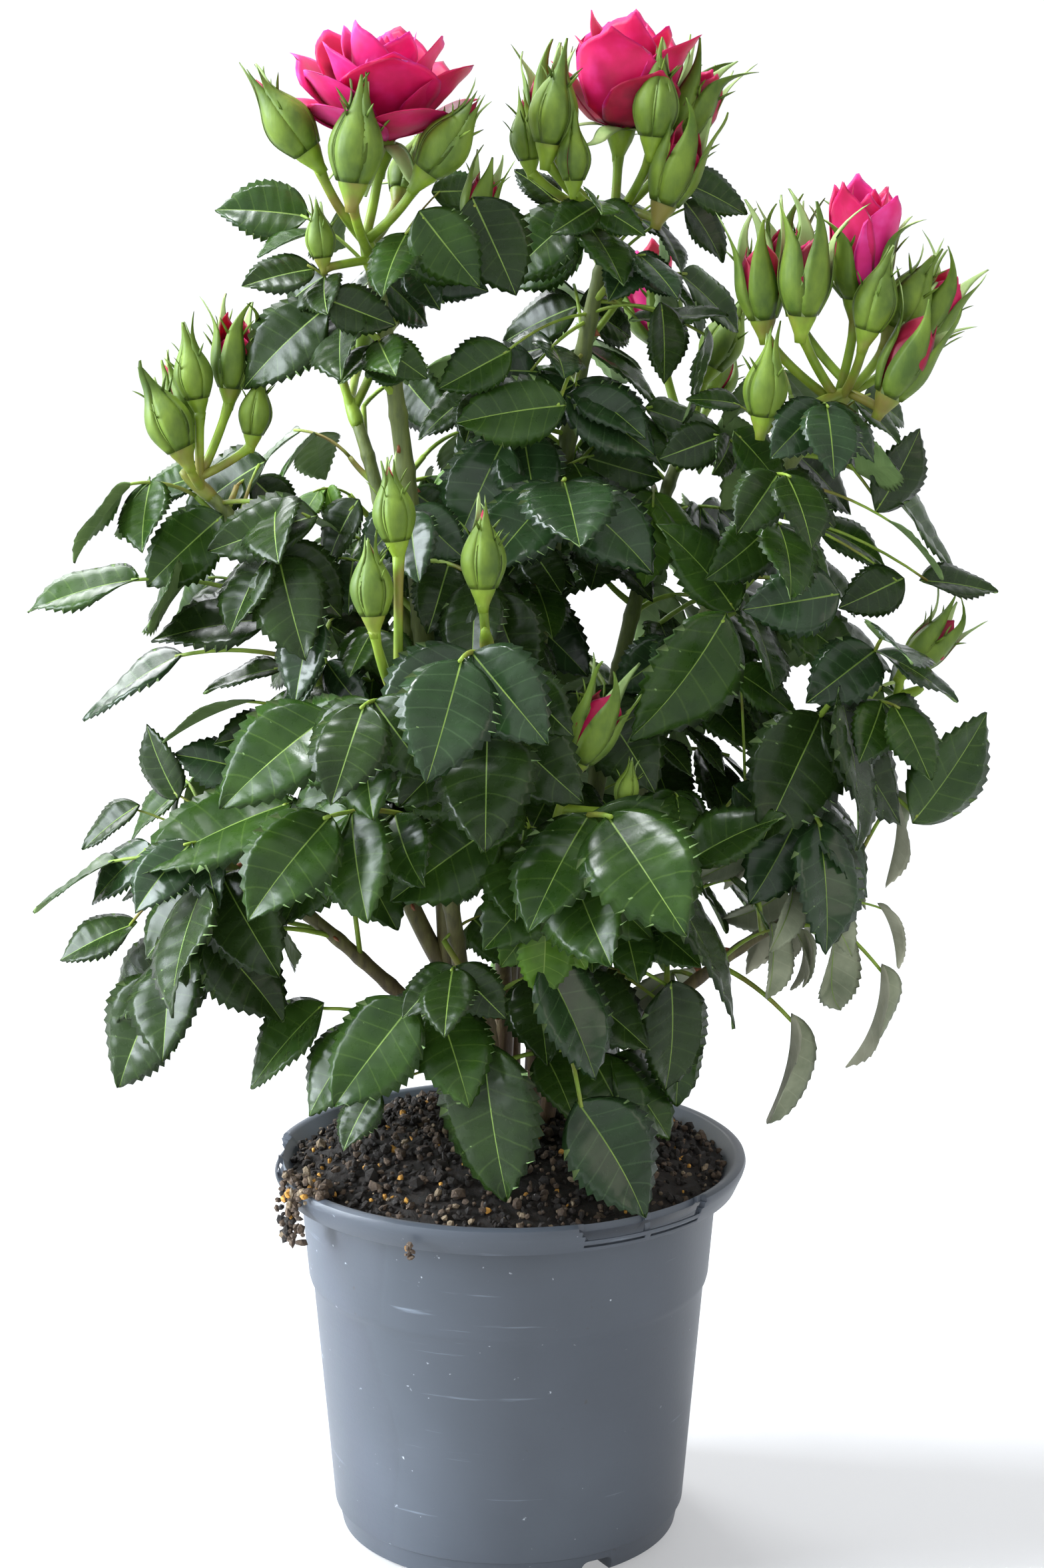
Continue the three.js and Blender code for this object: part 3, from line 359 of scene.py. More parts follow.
damp_earth = earth("Damp compost", colour(11, 8, 6), colour(40, 31, 24), 0.0006)
soil.data.materials.clear()
soil.data.materials.append(damp_earth)
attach(soil, "root")
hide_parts("compost")


class Growth:
    """Corners and faces of many small things of one kind, gathered into one mesh."""

    def __init__(self):
        self.corners = []
        self.faces = []
        self.tones = []
        self.across = []
        self.count = 0

    def add(self, corners, faces, tones, across=None):
        """Adds a thing: its faces number its own corners, and across holds its UV places."""
        self.corners.append(corners)
        self.faces.extend([[i + self.count for i in face] for face in faces])
        self.tones.extend([tones] * len(faces) if isinstance(tones, int) else tones)
        self.across.append(np.zeros((len(corners), 2)) if across is None else across)
        self.count += len(corners)

    def piece(self, name, finishes, smooth=True):
        """The mesh object of all that was added, in metres."""
        corners = np.concatenate(self.corners) * MM
        mesh = bpy.data.meshes.new(name)
        mesh.from_pydata(corners.tolist(), [], self.faces)
        for finish in finishes:
            mesh.materials.append(finish)
        mesh.polygons.foreach_set("material_index", self.tones)
        mesh.polygons.foreach_set("use_smooth", [smooth] * len(mesh.polygons))
        loops = np.empty(len(mesh.loops), dtype=int)
        mesh.loops.foreach_get("vertex_index", loops)
        layer = mesh.uv_layers.new(name="UVMap")
        layer.data.foreach_set("uv", np.concatenate(self.across)[loops].ravel())
        mesh.update()
        piece = bpy.data.objects.new(name, mesh)
        bpy.context.scene.collection.objects.link(piece)
        return piece


GOLDEN = (1 + math.sqrt(5)) / 2
CRUMB_CORNERS = np.array([(-1, GOLDEN, 0), (1, GOLDEN, 0), (-1, -GOLDEN, 0), (1, -GOLDEN, 0),
                          (0, -1, GOLDEN), (0, 1, GOLDEN), (0, -1, -GOLDEN), (0, 1, -GOLDEN),
                          (GOLDEN, 0, -1), (GOLDEN, 0, 1), (-GOLDEN, 0, -1), (-GOLDEN, 0, 1)]) / 1.9
CRUMB_FACES = [(0, 11, 5), (0, 5, 1), (0, 1, 7), (0, 7, 10), (0, 10, 11), (1, 5, 9), (5, 11, 4), (11, 10, 2),
               (10, 7, 6), (7, 1, 8), (3, 9, 4), (3, 4, 2), (3, 2, 6), (3, 6, 8), (3, 8, 9), (4, 9, 5),
               (2, 4, 11), (6, 2, 10), (8, 6, 7), (9, 8, 1)]
CRUMBS_ON_TOP = 2600
CRUMBS_SPILT = 150
CRUMBS_ON_WALL = 9
DRY, GOLD = 1, 3
CRUMB_SHARES = (0.62, 0.3, 0.05, 0.03)
SPILT_SHARES = (0.25, 0.58, 0.1, 0.07)
SPILL_AZIMUTH = -147
OVER_RIM = 0.45
SPLASH_AZIMUTH = -113
luck = np.random.default_rng(7)
crumbs = Growth()


def drop_crumb(radius, azimuth, height, size, tone):
    """One crumb of compost, squashed and knocked out of shape by chance."""
    place = np.array([radius * math.cos(azimuth), radius * math.sin(azimuth), height])
    shape = CRUMB_CORNERS * luck.uniform(0.7, 1.25, (12, 1)) * luck.uniform(0.6, 1.3, 3) * size
    turn = np.linalg.qr(luck.normal(size=(3, 3)))[0]
    if np.linalg.det(turn) < 0:
        turn[:, 0] *= -1
    crumbs.add(shape @ turn.T + place, CRUMB_FACES, tone)


for _ in range(CRUMBS_ON_TOP):
    radius = SOIL_RADIUS * math.sqrt(luck.uniform())
    azimuth = luck.uniform(0, 2 * math.pi)
    tone = int(luck.choice(4, p=CRUMB_SHARES))
    size = luck.uniform(0.35, 1.0) + 1.2 * luck.uniform() ** 6
    height = soil_height(radius) + luck.uniform(0, 1.4)
    drop_crumb(radius, azimuth, height, size * (0.8 if tone == GOLD else 1), tone)
for _ in range(CRUMBS_SPILT):
    fallen = luck.uniform()
    azimuth = math.radians(SPILL_AZIMUTH + luck.normal() * (5.5 - 2.6 * fallen) - 4 * fallen)
    if fallen < OVER_RIM:
        radius = SOIL_RADIUS - 1 + 8.5 * fallen / OVER_RIM
        height = RIM_TOP + 1.2 + luck.uniform(-1.5, 1.6)
    else:
        radius = RIM_RADIUS + 1.2 + luck.uniform(-0.4, 1.4)
        height = RIM_TOP + 1 - 15 * (fallen - OVER_RIM) / (1 - OVER_RIM)
    size = luck.uniform(0.7, 1.5)
    drop_crumb(radius, azimuth, height, size, int(luck.choice(4, p=SPILT_SHARES)))
for _ in range(CRUMBS_ON_WALL):
    azimuth = math.radians(SPLASH_AZIMUTH + luck.normal() * 0.9)
    height = RIM_TOP - 6 + luck.normal() * 1.1
    size = luck.uniform(0.6, 1.1)
    drop_crumb(RIM_RADIUS + 1, azimuth, height, size, int(luck.choice([DRY, GOLD])))

litter = crumbs.piece("mix_crumbs", [
    damp_earth, earth("Dry crumbs", colour(52, 41, 32), colour(98, 81, 65), 0.0004),
    earth("Pale fibre", colour(96, 82, 64), colour(146, 130, 106), 0.0003),
    earth("Golden chips", colour(150, 104, 38), colour(196, 148, 66), 0.0003)], smooth=False)
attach(litter, "root")
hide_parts("compost")

# ---- Canes ----
# Living rose wood: brown, ridged bark at the foot that turns green and smooth higher up, with
# swollen joints where leaves stand and a few hooked prickles. Each cane is one tapering limb
# that grows out of the compost, or forks off another, and runs to its truss or its last leaf.
GAP = 0.3
ROOTED = 8
FORK_OUT = 0.3
FOOT_OUT = 0.14
UPPER_POINT = (0.62, 0.62, 0.84)
BOUGHS = [
    {"name": "front_low", "foot": (-2, -21), "tip": (-8, -38, 166), "steep": 0.5, "thick": (1.9, 1.3),
     "bare": 0.3, "leaves": 6, "first": -100, "size": (34, 34), "rise": 24, "fall": 85},
    {"name": "front", "foot": (-9, -13), "tip": (-27, -42, 236), "steep": 0.5, "thick": (2.4, 1.5),
     "bare": 0.22, "leaves": 9, "first": -110, "size": (40, 34), "rise": 24, "fall": 80},
    {"name": "front_right", "foot": (6, -13), "tip": (13, -34, 205), "steep": 0.5, "thick": (2.3, 1.5),
     "bare": 0.24, "leaves": 7, "first": -60, "size": (44, 38), "rise": 24, "fall": 80},
    {"name": "front_middle", "from": "middle_tall", "at": 0.12, "tip": (-5, -42, 252), "steep": 0.25,
     "thick": (2.3, 1.5), "bare": 0.2, "leaves": 8, "first": -70, "size": (38, 34), "rise": 26, "fall": 80},
    {"name": "left_low", "from": "left_tall", "at": 0.08, "tip": (-82, -14, 192), "steep": 0.3,
     "thick": (2.2, 1.4), "bare": 0.24, "leaves": 7, "first": -140, "size": (38, 36), "rise": 16, "fall": 85},
    {"name": "right_low", "from": "right_tall", "at": 0.08, "tip": (90, -4, 178), "steep": 0.1,
     "thick": (2.1, 1.3), "bare": 0.3, "leaves": 4, "first": -30, "size": (36, 32), "rise": 5, "fall": 95},
    {"name": "right_side", "from": "right_tall", "at": 0.14, "tip": (101, -2, 231), "steep": 0.2,
     "thick": (2.5, 1.5), "bare": 0.24, "leaves": 9, "first": -80, "size": (42, 36), "rise": 26, "fall": 80},
    {"name": "left_side", "from": "left_tall", "at": 0.14, "tip": (-78, -2, 286), "steep": 0.2,
     "thick": (2.6, 1.7), "bare": 0.18, "leaves": 10, "first": -150, "size": (40, 32), "rise": 26,
     "fall": 78},
    {"name": "left_tall", "foot": (-14, 4), "tip": (-35, 0, 345), "steep": 0.42, "thick": (3.6, 1.9),
     "bare": 0.22, "leaves": 12, "first": -60, "size": (38, 26), "rise": 32, "fall": 75},
    {"name": "right_tall", "foot": (9, 5), "tip": (84, 0, 308), "steep": 0.3, "thick": (3.4, 2),
     "bare": 0.22, "leaves": 12, "first": -60, "size": (42, 30), "rise": 30, "fall": 78},
    {"name": "middle_tall", "foot": (-3, 14), "tip": (27, 18, 352), "steep": 0.4, "thick": (3.2, 1.9),
     "bare": 0.22, "leaves": 12, "first": -80, "size": (38, 28), "rise": 32, "fall": 75},
    {"name": "back_low", "foot": (1, 23), "tip": (4, 74, 216), "steep": 0.3, "thick": (2.2, 1.4),
     "bare": 0.3, "leaves": 6, "first": 80, "size": (40, 36), "rise": 20, "fall": 85},
    {"name": "back_left", "foot": (-12, 18), "tip": (-42, 52, 300), "steep": 0.35, "thick": (3, 1.7),
     "bare": 0.26, "leaves": 9, "first": 120, "size": (38, 30), "rise": 28, "fall": 80},
    {"name": "back_right", "foot": (12, 17), "tip": (48, 50, 292), "steep": 0.35, "thick": (3, 1.7),
     "bare": 0.26, "leaves": 9, "first": 30, "size": (38, 30), "rise": 28, "fall": 80},
]
PRICKLE_SIZE = 1.7
PRICKLE_EVERY = 26
PRICKLE_WIDE = 0.35
PRICKLE_HIGH = 0.8
PRICKLE_HOOK = 0.5
PRICKLE_TAPER = ((-0.1, 1), (0.35, 0.55), (0.7, 0.25), (1, 0.05))
OLD_WOOD = 2.8
NUMBER_OF = {bough["name"]: number for number, bough in enumerate(BOUGHS)}
curves = {}


def unit(vector):
    """A vector at length one."""
    return vector / np.linalg.norm(vector)


def heading(azimuth, elevation):
    """The unit vector at an azimuth, from +X towards +Y, and an elevation, both in degrees."""
    a, e = math.radians(azimuth), math.radians(elevation)
    return np.array([math.cos(a) * math.cos(e), math.sin(a) * math.cos(e), math.sin(e)])


def bezier(points, share):
    """A place on the Bezier curve of two to four points."""
    while len(points) > 1:
        points = [a + (b - a) * share for a, b in zip(points, points[1:])]
    return points[0]


def tangent(points, share):
    """The way that a Bezier curve runs at a share of it."""
    return unit(bezier([b - a for a, b in zip(points, points[1:])], min(max(share, 0), 1)))


def bough_curve(bough):
    """The four points of a bough's curve."""
    if "from" in bough:
        start, out = bezier(curves[bough["from"]], bough["at"]), FORK_OUT
    else:
        start, out = np.array([*bough["foot"], SOIL_TOP + GAP]), FOOT_OUT
    tip = np.array(bough["tip"], dtype=float)
    way = tip - start
    return [start, start + way * (out, out, bough["steep"]), start + way * UPPER_POINT, tip]


def bough_radius(bough, share):
    """A bough's radius at a share of its length."""
    return bough["thick"][0] + (bough["thick"][1] - bough["thick"][0]) * share


def chance(bough, leaf, use):
    """Repeatable chance from 0 to 1 for a bough, a leaf on it and a use."""
    s = math.sin(bough * 12.9898 + leaf * 78.233 + use * 37.719) * 43758.5453
    return s - math.floor(s)


def wall_faces(rings, sides):
    """The faces between rings of corners that lie one after another."""
    faces = []
    for low in range(0, (rings - 1) * sides, sides):
        for k in range(sides):
            after = (k + 1) % sides
            faces.append((low + k, low + after, low + sides + after, low + sides + k))
    return faces


def limb_faces(rings, sides):
    """The faces of a closed limb: rings of corners, and then the point at each end."""
    faces = wall_faces(rings, sides)
    for k in range(sides):
        faces.append((rings * sides, (k + 1) % sides, k))
        faces.append((rings * sides + 1, (rings - 1) * sides + k, (rings - 1) * sides + (k + 1) % sides))
    return faces


def tube(points, radii, sides, relief=None):
    """Corners and faces of a limb round a line of points, closed at both ends."""
    points, radii = np.asarray(points), np.asarray(radii)
    ways = np.gradient(points, axis=0)
    ways /= np.linalg.norm(ways, axis=1, keepdims=True)
    side = np.cross(ways[0], (0.31, 0.82, 0.17))
    angles = np.arange(sides) * 2 * math.pi / sides
    rings = []
    for row, (point, way, radius) in enumerate(zip(points, ways, radii)):
        side = unit(side - way * side.dot(way))
        over = np.cross(way, side)
        out = radius * (1 if relief is None else relief(row, angles))
        spokes = np.outer(np.cos(angles), side) + np.outer(np.sin(angles), over)
        rings.append(point + spokes * np.reshape(out, (-1, 1)))
    return np.concatenate([*rings, points[:1], points[-1:]]), limb_faces(len(points), sides)


def leaf_share(bough, i):
    """Where along a bough its leaf of that number stands."""
    jitter = 0.35 * chance(NUMBER_OF[bough["name"]], i, 1)
    return bough["bare"] + 0.04 + (0.93 - bough["bare"]) * (i + jitter) / bough["leaves"]


def prickle(point, way, out, size):
    """A hooked prickle: a cone flattened along the cane, with its point bent down."""
    side = np.cross(way, out)
    angles = np.arange(6) * math.pi / 3
    flat = np.outer(np.cos(angles), side) * PRICKLE_WIDE + np.outer(np.sin(angles), way) * PRICKLE_HIGH
    rings = []
    for share, width in PRICKLE_TAPER:
        middle = point + out * size * share - way * size * PRICKLE_HOOK * share ** 2
        rings.append(middle + flat * width * size)
    faces = wall_faces(len(rings), 6)
    return np.concatenate(rings), [*faces, tuple(range(5, -1, -1)), tuple(range(18, 24))]


def bark(name, foot, top, high):
    """Bark that is brown and cracked at the foot and green above."""
    material, nodes, links, shader = new_finish(name, roughness=0.6)
    place = nodes.new("ShaderNodeTexCoord")
    axes = nodes.new("ShaderNodeSeparateXYZ")
    links.new(place.outputs["Object"], axes.inputs["Vector"])
    streaks = grain(nodes, links, 420, 5, (1, 1, 0.18), rough=0.65)
    brown = tinted(nodes, links, streaks, [(0.3, foot), (0.55, colour(98, 76, 52)),
                                           (0.75, colour(134, 112, 82))])
    green = tinted(nodes, links, streaks, [(0.3, top), (0.7, high)])
    height = nodes.new("ShaderNodeMath")
    height.operation = "MULTIPLY_ADD"
    links.new(streaks, height.inputs[0])
    height.inputs[1].default_value = 0.06
    links.new(axes.outputs["Z"], height.inputs[2])
    share = spread(nodes, links, height.outputs[0], 0, 1, 0.165, 0.24)
    links.new(mixed(nodes, links, share, brown, green), shader.inputs["Base Color"])
    raised(nodes, links, shader, streaks, 0.5, 0.0005)
    return material


cane_bark = bark("Rose bark", colour(52, 36, 24), colour(66, 78, 34), colour(104, 116, 52))
prickle_red, nodes, links, shader = new_finish("Prickle")
speckle = grain(nodes, links, 900)
links.new(tinted(nodes, links, speckle, [(0.3, colour(110, 52, 34)), (0.7, colour(158, 96, 60))]),
          shader.inputs["Base Color"])
links.new(spread(nodes, links, speckle, 0.4, 0.55), shader.inputs["Roughness"])
raised(nodes, links, shader, speckle, 0.2, 0.0002)

for bough in [*(one for one in BOUGHS if "foot" in one), *(one for one in BOUGHS if "from" in one)]:
    curves[bough["name"]] = bough_curve(bough)

for number, bough in enumerate(BOUGHS):
    curve = curves[bough["name"]]
    length = sum(np.linalg.norm(bezier(curve, (i + 1) / 20) - bezier(curve, i / 20)) for i in range(20))
    rooted = -ROOTED / length if "foot" in bough else 0
    steps = int(length / 1.6)
    shares = np.linspace(rooted, 1, steps)
    joints = np.array([leaf_share(bough, i) for i in range(bough["leaves"])])
    radii = [bough_radius(bough, share) for share in shares]
    radii *= 1 + 0.16 * np.exp(-(((shares[:, None] - joints) * length / 1.6) ** 2)).sum(axis=1)
    if "foot" in bough:
        radii *= 1 + 0.4 * np.exp(-(shares - rooted) * length / 9)
    woody = "foot" in bough and bough["thick"][0] > OLD_WOOD
    ridges = np.random.default_rng(100 + number).uniform(0, 2 * math.pi, (3, steps // 6 + 2))

    def relief(row, angles):
        """Low ridges that wander round the limb, deeper on old wood."""
        wandering = np.cumsum(ridges * 0.16, axis=1)
        phase = [np.interp(row / 6, range(ridges.shape[1]), line) for line in wandering]
        depth = (0.075 if woody else 0.03) * (1 - 0.6 * row / steps)
        return 1 + depth * (np.sin(3 * angles + phase[0]) + 0.7 * np.sin(5 * angles + phase[1])
                            + 0.5 * np.sin(8 * angles + phase[2]))

    wood = Growth()
    wood.add(*tube([bezier(curve, share) for share in shares], radii, 14, relief), 0)
    prickles = int(length / PRICKLE_EVERY)
    for k in range(prickles):
        share = 0.06 + 0.86 * (k + chance(number, k, 21)) / prickles
        way = tangent(curve, share)
        out = unit(np.cross(way, heading(360 * chance(number, k, 22), 0)))
        foot = bezier(curve, share) + out * bough_radius(bough, share)
        wood.add(*prickle(foot, way, out, PRICKLE_SIZE), 1)
    cane = wood.piece(f"bark_{bough['name']}", [cane_bark, prickle_red])
    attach(cane, "root")
    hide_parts(f"cane_{bough['name']}")

# ---- Leaves ----
# Compound rose leaves: a stalk and three or five toothed leaflets
# that fold a little along a pale midrib, glossy above and dull below. They turn round each cane
# by the same angle from one to the next, and small ones on short twigs fill in between.
LEAF = {
    "five": {"pairs": (0.45, 0.86), "sizes": (0.74, 0.94), "length": 1.12},
    "three": {"pairs": (0.5,), "sizes": (0.88,), "length": 0.78},
    "one": {"pairs": (), "sizes": (), "length": 0.5},
    "flat": {"pairs": (), "sizes": (), "length": 0.5},
    "three_from": 0.5, "turn": 144, "width_share": 0.64, "side_angle": 62, "bend": 0.6, "hang": 40,
    "end_hang": 28, "outward": 1.25, "flat_outward": 0.45, "light": 48, "sunk": 2.2, "arch": 0.14,
    "clearance": 4.2, "own_clearance": 2.6, "own_reach": 16,
    "ground": ((0, SOIL_FLAT, 56), (SOIL_TOP + 3, SOIL_TOP + 3, RIM_TOP + 3)),
    "places": ((0.16, 0), (0.3, -0.25), (0.3, 0.25), (0.42, -0.48), (0.46, 0), (0.42, 0.48),
               (0.65, -0.25), (0.65, 0.25), (0.76, 0), (1, 0)),
    "shifts": (0, -5, 5, -10, 10, 16, -16),
    "tries": ((0, 0), (22, 0), (-22, 0), (0, 20), (0, -20), (45, 8), (-45, 8), (68, 0), (-68, 0),
              (90, 15), (-90, 15), (112, 0), (-112, 0), (30, 32), (-30, 32), (136, 10), (-136, 10),
              (0, 45), (180, 0), (180, 25)),
}
# Leaves that stand out: share of the bough, where the end leaflet starts, its tip, and the plan.
OWN_LEAVES = {
    "left_side": [
        (0.72, (-99, -4, 264), (-131, -2, 260), "three"),
        (0.62, (-89, 6, 242), (-119, 8, 227), "flat"),
        (0.55, (-61, -12, 255), (-97, -10, 253), "flat"),
        (0.5, (-69, -6, 232), (-96, -4, 225), "flat"),
        (0.9, (-66, 10, 293), (-91, 14, 279), "one"),
        (0.97, (-51, -16, 282), (-80, -20, 275), "three"),
        (0.86, (-82, 8, 290), (-100, 10, 286), "one"),
        (0.45, (-50, -26, 256), (-57, -34, 235), "three"),
        (0.4, (-42, -18, 237), (-65, -22, 225), "one"),
        (0.86, (-76, -6, 280), (-98, -8, 262), "one"),
        (0.6, (-62, -2, 240), (-84, -4, 238), "one"),
        (0.72, (-40, -8, 284), (-51, -10, 267), "one"),
    ],
    "left_low": [
        (0.6, (-58, -24, 208), (-100, -34, 196), "one"),
        (0.66, (-89, -4, 207), (-100, -2, 226), "one"),
        (0.8, (-100, -6, 203), (-117, -8, 193), "one"),
        (0.85, (-108, 4, 186), (-133, 6, 174), "flat"),
        (0.82, (-89, 6, 185), (-109, 8, 176), "one"),
        (0.97, (-91, -20, 159), (-109, -24, 129), "five"),
        (0.5, (-77, -28, 173), (-55, -34, 152), "one"),
        (0.4, (-45, -34, 216), (-52, -42, 184), "three"),
        (0.7, (-69, -8, 214), (-90, -10, 221), "one"),
        (0.88, (-98, 2, 190), (-118, 4, 175), "one"),
        (0.97, (-101, -10, 172), (-124, -12, 165), "one"),
    ],
    "left_tall": [
        (0.985, (-54, 0, 358), (-79, 0, 362), "three"),
        (0.9, (-48, -6, 334), (-73, -8, 315), "three"),
        (0.95, (-46, 6, 336), (-62, 8, 347), "one"),
        (0.92, (-44, -8, 337), (-26, -10, 331), "one"),
        (0.84, (-28, -8, 318), (-40, -10, 322), "one"),
        (0.97, (-21, -8, 358), (-6, -12, 339), "three"),
        (0.96, (-18, 4, 364), (-2, 6, 365), "one"),
        (0.95, (-8, -4, 361), (4, -6, 336), "one"),
    ],
    "middle_tall": [
        (0.97, (18, 6, 358), (-6, 2, 342), "three"),
        (0.98, (12, 16, 362), (1, 18, 373), "one"),
        (0.97, (42, 20, 362), (52, 22, 378), "one"),
        (0.95, (47, 16, 366), (66, 18, 359), "one"),
        (0.93, (48, 12, 360), (61, 12, 345), "three"),
        (0.85, (6, 4, 318), (-18, 0, 320), "three"),
        (0.8, (13, -4, 310), (-16, -8, 308), "one"),
        (0.78, (17, 0, 311), (42, -6, 298), "three"),
        (0.9, (34, 10, 331), (60, 10, 336), "one"),
        (0.88, (52, 4, 327), (50, 2, 301), "one"),
        (0.86, (40, 8, 334), (43, 6, 313), "one"),
        (0.86, (-1, 2, 323), (-20, -2, 314), "one"),
    ],
    "right_tall": [
        (0.95, (98, 2, 283), (112, 2, 304), "three"),
        (0.85, (101, -8, 279), (118, -12, 267), "one"),
        (0.8, (111, 2, 263), (133, 4, 262), "flat"),
        (0.8, (102, -6, 264), (85, -12, 257), "one"),
        (0.7, (84, -18, 262), (59, -26, 259), "one"),
        (0.62, (58, -14, 259), (41, -16, 285), "one"),
        (0.9, (59, 6, 310), (45, 4, 314), "one"),
        (0.5, (55, -28, 257), (35, -40, 222), "one"),
        (0.9, (101, 6, 286), (128, 8, 262), "one"),
        (0.84, (60, -8, 302), (75, -10, 288), "one"),
        (0.88, (84, 8, 276), (106, 10, 268), "one"),
    ],
    "right_side": [
        (0.72, (86, -22, 237), (98, -34, 197), "three"),
        (0.8, (110, 2, 199), (133, 4, 227), "one"),
        (0.4, (60, -8, 184), (77, -10, 168), "one"),
        (0.6, (61, -10, 240), (79, -12, 230), "one"),
        (0.34, (48, -30, 195), (71, -34, 212), "one"),
        (0.35, (61, -12, 209), (82, -16, 192), "one"),
        (0.3, (39, -34, 192), (68, -46, 157), "one"),
    ],
    "right_low": [
        (0.6, (76, -12, 146), (80, -14, 109), "one"),
        (0.9, (101, -2, 157), (104, -2, 125), "one"),
        (0.6, (70, -10, 172), (75, -12, 148), "one"),
        (0.75, (87, -4, 171), (90, -6, 141), "one"),
        (0.8, (80, -8, 166), (85, -8, 148), "three"),
        (0.95, (101, 0, 174), (113, 0, 159), "one"),
        (0.99, (104, 4, 204), (113, 4, 178), "one"),
    ],
    "front_low": [
        (0.6, (-25, -52, 161), (-47, -60, 136), "three"),
        (0.45, (-6, -52, 150), (-3, -64, 110), "one"),
        (0.4, (-50, -24, 153), (-73, -26, 132), "one"),
        (0.36, (-35, -44, 136), (-45, -52, 122), "one"),
        (0.5, (-38, -36, 150), (-57, -40, 128), "one"),
    ],
    "front_right": [
        (0.5, (19, -50, 134), (40, -60, 107), "one"),
        (0.6, (10, -50, 171), (27, -56, 142), "one"),
        (0.5, (43, -36, 159), (46, -40, 128), "one"),
        (0.5, (44, -18, 150), (49, -20, 121), "one"),
    ],
}
# Openings that are kept through the crown, as an eye in front sees them: middle, half width and
# half height on the upright plane through the pot's axis.
EYE = (3.7, -803, 374)
OPENINGS = ((-17.7, 326.6, 6, 4), (-35.2, 296.5, 10, 12), (25.8, 251, 6, 11), (50, 289, 7, 5),
            (60, 139, 6, 12), (-76.4, 269.4, 5, 4), (-50.1, 166.3, 6, 9), (106, 252.7, 4, 5),
            (-52, 309, 14, 6), (-68, 96, 9, 16), (-20, 168, 6, 11))
SMALL_LEAVES = {"each": 1.7, "size": 0.74, "clearance": 3.0, "twig": (6, 20), "three_from": 0.3}
WITHERED = "right_low"
WILT = 0.55
YOUNG_LEAF = 24
# The fourth share is the pale young tone: partly the young leaves' own colour, partly painted glow of light
# shining through them.
TONE_SHARES = (0.34, 0.36, 0.18, 0.12)
# A blade's thickness and fullness, then its roll, twist, bend, fold and curl with their chance, and
# the depths of its wave, its quilting between the veins and the groove of its midrib.
BLADE = {"thick": 0.32, "full": 1.14, "shrink": 0.8, "roll": 15, "twist": (10, 60), "bend": (16, 10, 50),
         "fold": (0.2, 0.16, 0.9), "curl": (0.16, 0.1), "wave": 0.035, "quilt": 0.034, "groove": 0.1}
TEETH = 13
LEAF_ROWS = 2 * TEETH + 1
LEAFLET_OUTLINE = ((0, 0.04, 0.1, 0.18, 0.28, 0.38, 0.48, 0.6, 0.72, 0.82, 0.9, 0.96, 1),
                   (0.03, 0.28, 0.56, 0.8, 0.95, 1, 0.98, 0.88, 0.68, 0.46, 0.26, 0.1, 0.01))
TOOTH_DEPTH = ((0, 0.12, 0.3, 0.9, 1), (0, 0.3, 1, 0.8, 0))
VEIN_PAIRS = 7
VEIN_SWEEP = 1.7
# Each head of a truss: how far right, back and up from the cane's tip, its lean, kind and size.
TRUSSES = {
    "left_tall": [
        (-12, -9, 0, (-0.1, 0), "bud", 0.62),
        (-4, -20, 17, (0.1, -0.05), "bud", 1.1),
        (25, -4, 8, (0.3, 0), "split", 0.7),
        (6, 14, 16, (0.3, 0.6), "bud", 0.8),
        (-13, -12, 26, (-0.72, -0.1), "bud", 1),
        (12, -14, 21, (0.75, -0.1), "bud", 1),
        (2, 0, 25, (0.04, -0.14), "bloom", 1.04),
    ],
    "middle_tall": [
        (2, 0, 22, (0.1, -0.1), "cup", 1),
        (-17, -14, 20, (0.15, -0.05), "bud", 1),
        (-21, -6, 17, (-0.12, 0), "bud", 0.72),
        (-16, 8, 21, (-0.05, 0.1), "split", 0.9),
        (-10, -16, 12, (0, -0.05), "bud", 0.7),
        (10, -14, 22, (0.1, -0.05), "bud", 0.95),
        (15, -3, 21, (0.5, 0), "split", 0.95),
        (15, 12, 24, (0.55, 0.3), "split", 0.85),
        (12, -13, 5, (0.35, -0.05), "split", 1),
    ],
    "right_tall": [
        (6, -2, 24, (0.05, -0.05), "half", 1),
        (-18, -8, 20, (-0.1, -0.05), "split", 0.95),
        (-9, -13, 21, (0.05, -0.1), "split", 1.05),
        (7, -13, 18, (0.25, -0.1), "bud", 0.9),
        (14, -4, 18, (0.5, 0), "bud", 0.95),
        (20, 1, 15, (0.62, 0), "split", 0.9),
        (12, -11, 1, (0.5, -0.1), "split", 1),
        (-19, -15, -4, (0.1, -0.05), "bud", 0.9),
        (-10, 9, 26, (-0.05, 0.1), "split", 0.85),
    ],
    "left_side": [
        (-5, -6, 9, (-0.45, 0), "bud", 0.95),
        (-2, -2, 22, (-0.15, 0), "bud", 0.8),
        (5, 5, 24, (0.1, 0), "split", 0.85),
        (11, 0, 13, (0.15, 0), "bud", 0.7),
        (-5, 5, 14, (-0.35, 0.1), "bud", 0.8),
    ],
    "front": [(0, -4, 40, (-0.1, 0), "bud", 0.85), (-6, -9, 22, (-0.05, 0), "bud", 0.85)],
    "front_middle": [(-1, -5, 12, (0, 0), "bud", 0.9)],
    "front_right": [(3, -5, 14, (0.5, 0), "split", 0.95), (16, -9, 5, (0.2, 0), "bud", 0.5)],
    "right_side": [(3, 0, 7, (0.9, 0), "split", 0.8)],
    "back_left": [
        (-6, 4, 20, (-0.4, 0.2), "bud", 0.95),
        (7, 9, 24, (0.2, 0.5), "split", 0.95),
        (-1, 16, 14, (0, 0.8), "bud", 0.8),
    ],
    "back_right": [
        (6, 3, 20, (0.5, 0.1), "bud", 0.95),
        (-5, 10, 26, (-0.2, 0.3), "half", 0.9),
        (8, 14, 12, (0.5, 0.7), "bud", 0.8),
    ],
}
